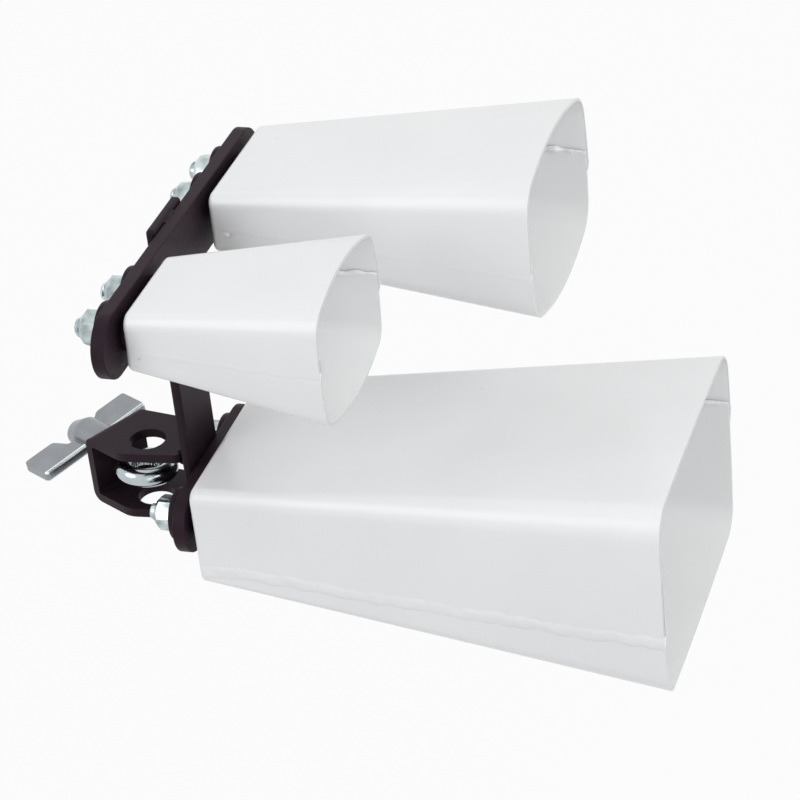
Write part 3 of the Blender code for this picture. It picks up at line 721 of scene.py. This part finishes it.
class COWBELL_OT_seams(Operator):
    """Lays the painted weld along each bell's side seams"""
    bl_idname = "cowbell.seams"
    bl_label = "Seam welds"

    def execute(self, context):
        sizes = context.scene.cowbell_bells
        tree, sockets = bead_tree()
        for number, (name, bell) in enumerate(BELLS.items()):
            start, mouth, centre = bell_axis(name)
            outer, inner = [
                sheet_rows(bell, start, mouth, sizes.bend / MM, sizes.belly / MM, which)[BEND_ROWS:]
                for which in (False, True)]
            wide = sizes.bead * bell["bead"]
            sunk = wide * SEAM_FLATNESS / MM - bell["proud"]
            seams = []
            for pick in (0, -1):
                cut_edge = [(x, *points[pick]) for x, points in outer]
                seams.append([(x, y - math.copysign(sunk, y), z - SEAM_DROP) for x, y, z in cut_edge])
            flap = [(x, points[-1][0] - FLAP_IN, -points[-1][1] - FLAP_DOWN) for x, points in inner
                    if mouth * FLAP_FROM < x < mouth - FLAP_SHORT]
            runs = ((seams, wide, SEAM_FLATNESS, SEAM_LUMP, bell["proud"] * SEAM_WAVE),
                    ([flap], FLAP_BEAD * MM, 1.0, FLAP_LUMP, bell["rough"]))
            meshes = [grown(name + "_seam", self.path(lines, centre), tree, sockets, {
                "Radius": radius, "Flatness": flatness, "Lump": lump * MM, "Depth": depth * MM,
                "Seed": float(number), "Material": white_paint(context)})
                for lines, radius, flatness, lump, depth in runs]
            mesh = joined(name + "_seam", meshes)
            piece(name + "_bell_seam_welds", mesh, white_paint(context))
        return {"FINISHED"}

    def path(self, lines, centre):
        """Edges along lines of points (x, y, z) in mm about a bell's centre line."""
        shape = bmesh.new()
        for line in lines:
            verts = [shape.verts.new((x * MM, centre.y + y * MM, centre.z + z * MM)) for x, y, z in line]
            for first, second in zip(verts, verts[1:]):
                shape.edges.new((first, second))
        return mesh_of("path", shape)


# Frame in millimetres: the strap's corners and edges, and where its welds stop short of the bars' edges
STRAP_CORNER, STRAP_EDGE = 2.0, 1.3
TOP_WELD_DOWN, BAR_WELD_ENDS, PLATE_WELD_ENDS, BRACKET_WELD_ENDS = 1.2, (3, 4), (6, 3), (2, 4)
FRAME_LUMP, FRAME_WAVE, FRAME_SEED = 3, 1.0, 7.0


class COWBELL_OT_bars(Operator):
    """Makes the crossbar, the lower plate and the upright strap with their welds"""
    bl_idname = "cowbell.bars"
    bl_label = "Frame bars"

    def execute(self, context):
        sizes = context.scene.cowbell_frame
        for node, low, high in (("crossbar", BAR_LOW, BAR_HIGH), ("lower_plate", PLATE_LOW, PLATE_HIGH)):
            half = (high.z - low.z) / 2
            middle = (high.y - low.y) / 2 - half
            outline = arc((middle, 0), half, -90, 90, 32) + arc((-middle, 0), half, 90, 270, 32)
            place = facing(X_AXIS, Z_AXIS, (low.x, (low.y + high.y) / 2, (low.z + high.z) / 2))
            mesh = eased(node, prism(node, outline, high.x - low.x, place), sizes.edge)
            piece(node + "_painted", mesh, black_paint(context), replaces=[node])
        node = "upright_strap"
        size = STRAP_HIGH - STRAP_LOW
        outline = rounded(oblong(size.y / 2, size.z / 2), STRAP_CORNER * MM)
        place = facing(X_AXIS, Z_AXIS, (STRAP_LOW.x, STRAP_MID.y, STRAP_MID.z))
        mesh = eased(node, prism(node, outline, size.x, place), STRAP_EDGE * MM, 4)
        piece(node + "_painted", mesh, black_paint(context), replaces=[node])
        self.weld(context, sizes)
        return {"FINISHED"}

    def weld(self, context, sizes):
        """Beads that join the strap to the crossbar, the plate and the bracket."""
        tree, sockets = bead_tree()
        front, back = STRAP_HIGH.x, BRACKET_HIGH.x
        reach, top = (STRAP_HIGH.y - STRAP_LOW.y) / 6, BAR_HIGH.z - TOP_WELD_DOWN * MM
        runs = [[(front, STRAP_MID.y - reach, top), (front, STRAP_MID.y + reach, top)]]
        for low, high, (lift, drop) in ((BAR_LOW.z, BAR_HIGH.z, BAR_WELD_ENDS),
                                        (PLATE_LOW.z, PLATE_HIGH.z, PLATE_WELD_ENDS)):
            for side in (STRAP_LOW.y, STRAP_HIGH.y):
                runs.append([(front, side, low + lift * MM), (front, side, high - drop * MM)])
        near, far = STRAP_LOW.y + BRACKET_WELD_ENDS[0] * MM, STRAP_HIGH.y - BRACKET_WELD_ENDS[1] * MM
        for height in (BRACKET_HIGH.z, BRACKET_HIGH.z - STRIP * MM, BRACKET_LOW.z):
            runs.append([(back, near, height), (back, far, height)])
        path = bmesh.new()
        for start, end in runs:
            path.edges.new((path.verts.new(start), path.verts.new(end)))
        mesh = grown("frame_welds", mesh_of("path", path), tree, sockets, {
            "Radius": sizes.bead, "Flatness": 1.0, "Lump": FRAME_LUMP * MM, "Depth": FRAME_WAVE * MM,
            "Seed": FRAME_SEED, "Material": black_paint(context)})
        piece("frame_welds", mesh, black_paint(context))


# Clamp sizes in millimetres, from the rod's axis: the bracket's web, strip, holes, trimmed far edge and edges
WEB_REACH, WEB_WIDTH, CHEEK, STRIP, STRIP_BEND = 24.0, 29.5, 1.0, 4.0, 5.0
ROD_HOLE, SHANK_HOLE, FAR_TRIM, PLAN_CORNER, BRACKET_EDGE = 15.4, 8.6, 2.8, 3.5, 0.7
# Reaches in millimetres of the bodies that shape the bracket, all past its own faces
STRIP_BACK, STRIP_HALF, PLAN_PAST, PLAN_HALF, ROD_DRILL, SHANK_DRILL = 70.0, 60, 2, 25, (-30, 30), (-10, 10)
# Eyebolt: its place, bore and teeth, the neck between eye and thread, and shares of wire, thread and pitch
EYE_PULL, EYE_BORE, EYE_TEETH, TOOTH_DEPTH, TOOTH_REACH = 4.0, 11.0, 24, 0.3, 1.2
SHANK_REACH, NECK_START, NECK_END, THREAD_SHORT = 48.0, 7, 9, 10
WIRE_POINTS, RING_STEPS = 28, 192
NECK_WIRE, NECK_THREAD, THREAD_DEPTH = 0.88, 0.44, 0.45
EYE_ROLL = math.radians(8)


def clamp_spot(out, across, up=0.0):
    """A point in the clamp's own directions, in mm from the rod's axis."""
    return CLAMP_OUT * (out * MM) + CLAMP_SIDE * (across * MM) + Vector((0, 0, up * MM))


class COWBELL_OT_bracket(Operator):
    """Bends the clamp bracket and drills it"""
    bl_idname = "cowbell.bracket"
    bl_label = "Clamp bracket"

    def execute(self, context):
        half = (BRACKET_HIGH.z - BRACKET_LOW.z) / 2 / MM
        centre, level = WEB_REACH - STRIP_BEND, half - STRIP_BEND
        inner, back = STRIP_BEND - STRIP, -STRIP_BACK
        outline = [(back, -half)] + arc((centre, -level), STRIP_BEND, -90, 0, 10)
        outline += arc((centre, level), STRIP_BEND, 0, 90, 10) + [(back, half), (back, half - STRIP)]
        outline += arc((centre, level), inner, 90, 0, 8) + arc((centre, -level), inner, 0, -90, 8)
        outline += [(back, STRIP - half)]
        place = Matrix((CLAMP_OUT, Z_AXIS, CLAMP_OUT.cross(Z_AXIS))).transposed().to_4x4()
        strip = prism("bracket", [(x * MM, y * MM) for x, y in outline], 2 * STRIP_HALF * MM,
                      place @ Matrix.Translation((0, 0, -STRIP_HALF * MM)))
        out, side, end = WEB_REACH + PLAN_PAST, WEB_WIDTH / 2, BRACKET_HIGH.x
        corners = [clamp_spot(out, -side), clamp_spot(CHEEK, -side), Vector((end, STRAP_LOW.y, 0)),
                   Vector((end, STRAP_HIGH.y - FAR_TRIM * MM, 0)), clamp_spot(out, side - FAR_TRIM)]
        plan = prism("plan", rounded([(c.x, c.y) for c in corners], PLAN_CORNER * MM), 2 * PLAN_HALF * MM,
                     Matrix.Translation((0, 0, -PLAN_HALF * MM)))
        shaped = combined("bracket", strip, [plan], "INTERSECT")
        rod = drill(ROD_HOLE / 2 * MM, ROD_DRILL, IN_PLACE, 96)
        web = facing(CLAMP_OUT, Z_AXIS, clamp_spot(WEB_REACH - STRIP / 2, 0))
        bolt = drill(SHANK_HOLE / 2 * MM, SHANK_DRILL, web, 48)
        mesh = combined("bracket", shaped, [rod, bolt], "DIFFERENCE")
        mesh = eased("bracket", mesh, BRACKET_EDGE * MM, 2, 45)
        piece("clamp_bracket_painted", mesh, black_paint(context),
              replaces=["clamp_bracket"])
        return {"FINISHED"}


class COWBELL_OT_eyebolt(Operator):
    """Makes the plated eyebolt with its thread"""
    bl_idname = "cowbell.eyebolt"
    bl_label = "Eyebolt"

    def execute(self, context):
        sizes = context.scene.cowbell_hardware
        wire, bore = sizes.eye_wire / 2, EYE_BORE / 2 * MM
        middle = bore + wire
        turn = [2 * math.pi * i / WIRE_POINTS for i in range(WIRE_POINTS)]
        ring = [(middle + wire * math.cos(a), wire * math.sin(a)) for a in turn]
        eye = turned("eye", ring, IN_PLACE, RING_STEPS, True)
        for vert in eye.vertices:
            spoke = Vector((vert.co.x, vert.co.y, 0))
            depth = max(0.0, 1 - (spoke.length - bore) / (TOOTH_REACH * MM))
            tooth = math.sin(math.atan2(spoke.y, spoke.x) * EYE_TEETH)
            vert.co -= spoke.normalized() * (TOOTH_DEPTH * MM * depth * max(tooth, 0.0))
        eye.transform(Matrix.Translation(clamp_spot(EYE_PULL, 0)) @ Matrix.Rotation(EYE_ROLL, 4, CLAMP_OUT))
        out = facing(CLAMP_OUT, Z_AXIS, clamp_spot(EYE_PULL, 0) + CLAMP_OUT * middle)
        length = SHANK_REACH * MM - EYE_PULL * MM - middle
        core = sizes.thread / 2 - sizes.pitch * THREAD_DEPTH
        profile = [(0, length), (core, length), (core, NECK_END * MM),
                   (sizes.thread * NECK_THREAD, NECK_START * MM), (wire * NECK_WIRE, 0), (0, 0)]
        shank = turned("shank", profile, out, 40)
        body = combined("eyebolt", eye, [shank], "UNION")
        tree, sockets = thread_tree()
        thread = grown("thread", bpy.data.meshes.new("thread"), tree, sockets, {
            "Radius": sizes.thread / 2, "Pitch": sizes.pitch, "Length": length - THREAD_SHORT * MM,
            "Material": eye_plate(context)})
        thread.transform(out @ Matrix.Translation((0, 0, NECK_END * MM)))
        piece("eyebolt_plated", body, eye_plate(context), "eyebolt", ["eyebolt"])
        piece("eyebolt_thread", thread, eye_plate(context), "eyebolt")
        return {"FINISHED"}


# Wing nut in millimetres from its seat: wings from foot to tips, hub with nose and shoulder, bore and edges
WING_FOOT, WING_TIP, WING_SPAN, WING_ROOT, WING_THICK = 11.8, 26.9, 28.5, 12.4, 5.3
HUB, HUB_NOSE, HUB_SHOULDER, WING_BORE, WING_DRILL = 7.0, 26.2, 19.4, 4.3, (-2, 30)
WING_CORNER, WING_EDGE, NUT_GAP = 1.8, 1.1, 0.3
# The two notches between wings and hub (across, out), and how far the hub stands off the bore's axis
NOTCHES = ((8.9, HUB_SHOULDER), (-9.6, WING_TIP - 2.6))
HUB_OFF, NOSE_OFF = Vector((-1.0, 1.7, 0)), 0.2
HUB_PROFILE = ((0, HUB_NOSE), (4.6, HUB_NOSE), (5.2, HUB_NOSE - 0.3), (5.5, HUB_NOSE - 1),
               (HUB - 0.2, HUB_SHOULDER + 0.8), (HUB, HUB_SHOULDER), (HUB, 0.8), (HUB - 0.7, 0), (0, 0))
NUT_TURN = math.radians(-6.5)
# Limits on the wing faces' turned normals that take the painted highlight
HIGHLIGHT_LOW, HIGHLIGHT_HIGH = 0.1, 0.99


class COWBELL_OT_wing_nut(Operator):
    """Casts the wing nut"""
    bl_idname = "cowbell.wing_nut"
    bl_label = "Wing nut"

    def execute(self, context):
        turn = Matrix.Rotation(NUT_TURN, 4, CLAMP_OUT)
        seat = turn @ facing(CLAMP_OUT, Z_AXIS, clamp_spot(WEB_REACH + NUT_GAP, 0))
        body = turned("hub", [(r * MM, z * MM) for r, z in HUB_PROFILE], IN_PLACE, 96)
        for vert in body.vertices:
            down = (HUB_NOSE * MM - vert.co.z) / ((HUB_NOSE - HUB_SHOULDER) * MM)
            vert.co += HUB_OFF * (MM * min(max(down, NOSE_OFF), 1.0))
        body.transform(seat)
        edge = [(-WING_SPAN, WING_FOOT), (WING_SPAN, WING_FOOT), (WING_SPAN, WING_TIP), (WING_ROOT, WING_TIP),
                *NOTCHES, (-WING_ROOT, WING_TIP), (-WING_SPAN, WING_TIP)]
        upright = seat @ Matrix(((1, 0, 0, 0), (0, 0, -1, 0), (0, 1, 0, 0), (0, 0, 0, 1)))
        wings = prism("wings", [(x * MM, y * MM) for x, y in rounded(edge, WING_CORNER)], WING_THICK * MM,
                      upright @ Matrix.Translation((0, 0, -WING_THICK / 2 * MM)))
        wings = eased("wings", wings, WING_EDGE * MM, 4)
        bore = drill(WING_BORE * MM, WING_DRILL, seat, 48)
        shape = combined("wing_nut", combined("wing_nut", body, [wings], "UNION"), [bore], "DIFFERENCE")
        mesh = levelled("wing_nut", shape)
        # The wings' inner edges are marked for a painted highlight
        self.mark_painted_highlights(mesh, seat.inverted(), HUB * MM)
        piece("wing_nut_cast", mesh, cast_zinc(context), "wing_nut", ["wing_nut"])
        return {"FINISHED"}

    def mark_painted_highlights(self, mesh, home, hub):
        """Marks the wings' rounded inner edges that take a painted highlight."""
        painted_highlight_mask = mesh.attributes.new("painted_highlight_mask", "FLOAT", "FACE")
        for face in mesh.polygons:
            normal = home.to_3x3() @ face.normal
            edge = HIGHLIGHT_LOW < abs(normal.y) < HIGHLIGHT_HIGH and normal.z < -HIGHLIGHT_LOW
            painted_highlight_mask.data[face.index].value = float(edge and abs((home @ face.center).x) > hub)


# Fasteners, in millimetres and in shares of a hexagon's radius or a washer's thickness
ALONG = facing(X_AXIS, Z_AXIS, (0, 0, 0))
TURN_STEP = 0.9
NUT_FACE, NUT_CHAMFER = 0.92, 0.5
NUT_COLLAR = ((5.6, 0.7), (5.4, 0.35), (5.0, 0.08), (4.6, 0))
NUT_CONE, HEAD, HEAD_FACE, HEAD_CHAMFER, BOLT_POINT, BOLT_BARE = 2.2, 5.3, 0.88, 0.8, 1.1, 4
BOLT_TIP = ((0.15, 0.3), (0.5, 0))
WASHER_EASE, WASHER_SLIGHT, WASHER_GAP = 0.22, 0.3, 0.3
NUT_STOCK, NUT_DRILL, BOLT_STOCK = (-10, 20), (-10, 30), (-20, 60)


class COWBELL_OT_fasteners(Operator):
    """Sets a bolt, lock nut and washers at each of the bells' bolt places"""
    bl_idname = "cowbell.fasteners"
    bl_label = "Bolts, nuts and washers"

    def execute(self, context):
        sizes = context.scene.cowbell_hardware
        for kind, build, paint, slot in (("lock_nut", self.nut, zinc_plate, "zinc_plate"),
                                         ("bolt", self.bolt, zinc_plate, "zinc_plate"),
                                         ("black_washer", self.washer, black_paint, "black_enamel"),
                                         ("spacer_washer", self.washer, black_paint, "black_enamel"),
                                         ("plain_washer", self.washer, zinc_plate, "zinc_plate")):
            nodes = [n for n in frame["nodes"] if n.endswith(("_bell_near_" + kind, "_bell_far_" + kind))]
            low, high, _ = box_of(nodes[0])
            model = blank(kind, build(sizes, low, high))
            points = bpy.data.meshes.new("places")
            points.from_pydata([(low.x, box_of(n)[2].y, box_of(n)[2].z) for n in nodes], [], [])
            tree, sockets = set_tree()
            mesh = grown(kind + "s", points, tree, sockets, {
                "Piece": model, "Turn step": TURN_STEP, "Material": paint(context)})
            bpy.data.objects.remove(model, do_unlink=True)
            piece("bell_" + kind + "s", mesh, paint(context), replaces=nodes)
        return {"FINISHED"}

    def stock(self, radius, low, high):
        """Hexagon bar on Z, from low to high in millimetres, that the nuts and heads are cut from."""
        turns = [math.radians(60 * i) for i in range(6)]
        corners = [(radius * math.cos(a), radius * math.sin(a)) for a in turns]
        return prism("stock", corners, (high - low) * MM, Matrix.Translation((0, 0, low * MM)))

    def nut(self, sizes, low, high):
        """A hex nut whose back end is turned down to a cone and a rounded lip."""
        tall, radius = high.x - low.x, sizes.flats / math.sqrt(3)
        profile = [(0, tall), (radius * NUT_FACE, tall), (radius, tall - NUT_CHAMFER * MM),
                   (radius, NUT_CONE * MM), *[(r * MM, z * MM) for r, z in NUT_COLLAR], (0, 0)]
        mesh = turned("nut", profile, IN_PLACE, 64)
        mesh = combined("nut", mesh, [self.stock(radius, *NUT_STOCK)], "INTERSECT")
        bore = drill(sizes.thread / 2, NUT_DRILL, IN_PLACE, 40)
        mesh = combined("nut", mesh, [bore], "DIFFERENCE")
        mesh.transform(ALONG)
        return mesh

    def bolt(self, sizes, low, high):
        """A hex bolt whose threaded end faces back."""
        length, head, point = high.x - low.x, HEAD * MM, BOLT_POINT * MM
        radius, core = sizes.flats / math.sqrt(3), sizes.thread / 2 - sizes.pitch * THREAD_DEPTH
        profile = [(0, length), (radius * HEAD_FACE, length), (radius, length - HEAD_CHAMFER * MM),
                   (radius, length - head), (core, length - head), (core, point),
                   *[(core - r * MM, z * MM) for r, z in BOLT_TIP], (0, 0)]
        mesh = turned("bolt", profile, Matrix.Translation((0, 0, -point)), 48)
        mesh = combined("bolt", mesh, [self.stock(radius, *BOLT_STOCK)], "INTERSECT")
        tree, sockets = thread_tree()
        mesh = grown("bolt", mesh, tree, sockets, {
            "Radius": sizes.thread / 2, "Pitch": sizes.pitch, "Length": length - head - BOLT_BARE * MM,
            "Material": zinc_plate(bpy.context)})
        mesh.transform(ALONG @ Matrix.Translation((0, 0, point)))
        return mesh

    def washer(self, sizes, low, high):
        """A flat ring with its rims eased."""
        outer, thick = (high.z - low.z) / 2, high.x - low.x
        ease, inner = WASHER_EASE * thick, sizes.thread / 2 + WASHER_GAP * MM
        slight = ease * WASHER_SLIGHT
        profile = [(inner, thick), (outer - ease, thick), (outer - slight, thick - slight),
                   (outer, thick - ease), (outer, ease), (outer - slight, slight), (outer - ease, 0),
                   (inner, 0)]
        return turned("washer", profile, ALONG, 72, True)


def seen_directly(tree):
    """1 where the camera, a reflection or glass looks at the backdrop, 0 where it lights the object."""
    path = add(tree, "ShaderNodeLightPath")
    seen = path.outputs["Is Camera Ray"]
    for kind in ("Is Glossy Ray", "Is Transmission Ray"):
        seen = add(tree, "ShaderNodeMath", {0: seen, 1: path.outputs[kind]}, operation="MAXIMUM").outputs[0]
    return seen


# Stage: each softbox's place in metres, power in watts and tint, their width and aim, and the paper's shade
SOFTBOXES = (("high", (1.3, -0.3, 1.0), 8.2, "#FAFFFA"),
             ("left", (-1.0, -1.05, 0.95), 6.3, "#F6F8FF"),
             ("right", (1.2, -1.4, 0.35), 2.4, "#F2FBFF"))
SOFTBOX_WIDTH, SOFTBOX_AIM = 1.2, Vector((0.1, 0, 0.05))
PAPER_SHADE, PAPER_GLOW, SKY_LIGHT, FLOOR_HALF = "#CFCFCF", 0.94, 0.65, 6
# The photograph's viewing angle
CAMERA_RIGHT = (0.95243588, 0.28940004, -0.09546469)
CAMERA_UP = (-0.07643572, 0.53012138, 0.8444696)
CAMERA_BACK = (0.29499741, -0.79700623, 0.52702713)
CAMERA_PLACE = (0.469507, -0.959470, 0.680373)


class COWBELL_OT_stage(Operator):
    """Sets the pale floor, the soft lamps and the camera"""
    bl_idname = "cowbell.stage"
    bl_label = "Stage"

    def execute(self, context):
        sizes = context.scene.cowbell_stage
        self.floor(sizes)
        self.world(context)
        for name, place, power, tint in SOFTBOXES:
            lamp = bpy.data.lights.new(name + " softbox", "AREA")
            lamp.shape = "DISK"
            lamp.size = SOFTBOX_WIDTH
            lamp.energy = power
            lamp.color = linear(tint)[:3]
            obj = bpy.data.objects.new(name + " softbox", lamp)
            context.scene.collection.objects.link(obj)
            obj.location = place
            obj.rotation_euler = (SOFTBOX_AIM - Vector(place)).to_track_quat("-Z", "Y").to_euler()
        self.camera(context, sizes)
        context.scene.view_settings.view_transform = "Standard"
        return {"FINISHED"}

    def floor(self, sizes):
        """A wide plain floor; it reads as paper white and still takes the shadow."""
        shape = bmesh.new()
        bmesh.ops.create_grid(shape, x_segments=1, y_segments=1, size=FLOOR_HALF)
        bmesh.ops.translate(shape, verts=shape.verts, vec=(0, 0, CAD_BOX[0].z - sizes.drop))
        floor = blank("floor", mesh_of("floor", shape))
        paper = bpy.data.materials.new("paper backdrop")
        paper.use_nodes = True
        tree = paper.node_tree
        tree.nodes.clear()
        matt = add(tree, "ShaderNodeBsdfDiffuse", {"Color": linear(PAPER_SHADE)})
        glow = add(tree, "ShaderNodeEmission", {"Color": tuple(sizes.floor), "Strength": 1.0})
        share = add(tree, "ShaderNodeMath", {0: seen_directly(tree), 1: PAPER_GLOW}, operation="MULTIPLY")
        mix = add(tree, "ShaderNodeMixShader", {0: share, 1: matt, 2: glow})
        add(tree, "ShaderNodeOutputMaterial", {"Surface": mix})
        floor.data.materials.append(paper)

    def world(self, context):
        """A white room, dimmer where it lights the object."""
        world = bpy.data.worlds.new("studio")
        world.use_nodes = True
        tree = world.node_tree
        tree.nodes.clear()
        strength = add(tree, "ShaderNodeMapRange", {"Value": seen_directly(tree), "To Min": SKY_LIGHT})
        sky = add(tree, "ShaderNodeBackground", {"Color": (1, 1, 1, 1), "Strength": strength})
        add(tree, "ShaderNodeOutputWorld", {"Surface": sky})
        context.scene.world = world

    def camera(self, context, sizes):
        """The camera that was fitted to the photograph."""
        camera = bpy.data.cameras.new("camera")
        camera.lens = sizes.lens
        camera.sensor_width = 36.0
        camera.shift_x = -0.0030
        camera.shift_y = -0.0015
        camera.clip_start = 0.05
        camera.clip_end = 30
        obj = bpy.data.objects.new("camera", camera)
        context.scene.collection.objects.link(obj)
        place = Matrix((CAMERA_RIGHT, CAMERA_UP, CAMERA_BACK)).transposed().to_4x4()
        place.translation = CAMERA_PLACE
        obj.matrix_world = place
        context.scene.camera = obj


GROUPS = {"cowbell_bells": BellSizes, "cowbell_frame": FrameSizes, "cowbell_hardware": HardwareSizes,
          "cowbell_stage": StageSizes}
STEPS = (COWBELL_OT_bells, COWBELL_OT_seams, COWBELL_OT_bars, COWBELL_OT_bracket, COWBELL_OT_eyebolt,
         COWBELL_OT_wing_nut, COWBELL_OT_fasteners, COWBELL_OT_stage)


class COWBELL_PT_looks(Panel):
    """Lists the cowbell's pieces and their sizes"""
    bl_idname = "COWBELL_PT_looks"
    bl_label = "Triple cowbell"
    bl_space_type = "VIEW_3D"
    bl_region_type = "UI"
    bl_category = "Cowbell"

    def draw(self, context):
        for group in GROUPS:
            settings = getattr(context.scene, group)
            column = self.layout.column()
            for key in settings.__annotations__:
                column.prop(settings, key)
        for step in STEPS:
            self.layout.operator(step.bl_idname)


def register():
    for group in GROUPS.values():
        bpy.utils.register_class(group)
    for name, group in GROUPS.items():
        setattr(bpy.types.Scene, name, PointerProperty(type=group))
    for item in STEPS + (COWBELL_PT_looks,):
        bpy.utils.register_class(item)


def unregister():
    for item in (COWBELL_PT_looks,) + STEPS[::-1]:
        bpy.utils.unregister_class(item)
    for name, group in GROUPS.items():
        delattr(bpy.types.Scene, name)
        bpy.utils.unregister_class(group)


def main():
    register()
    bpy.ops.cowbell.bells()
    bpy.ops.cowbell.seams()
    bpy.ops.cowbell.bars()
    bpy.ops.cowbell.bracket()
    bpy.ops.cowbell.eyebolt()
    bpy.ops.cowbell.wing_nut()
    bpy.ops.cowbell.fasteners()
    bpy.ops.cowbell.stage()


if __name__ == "__main__":
    main()
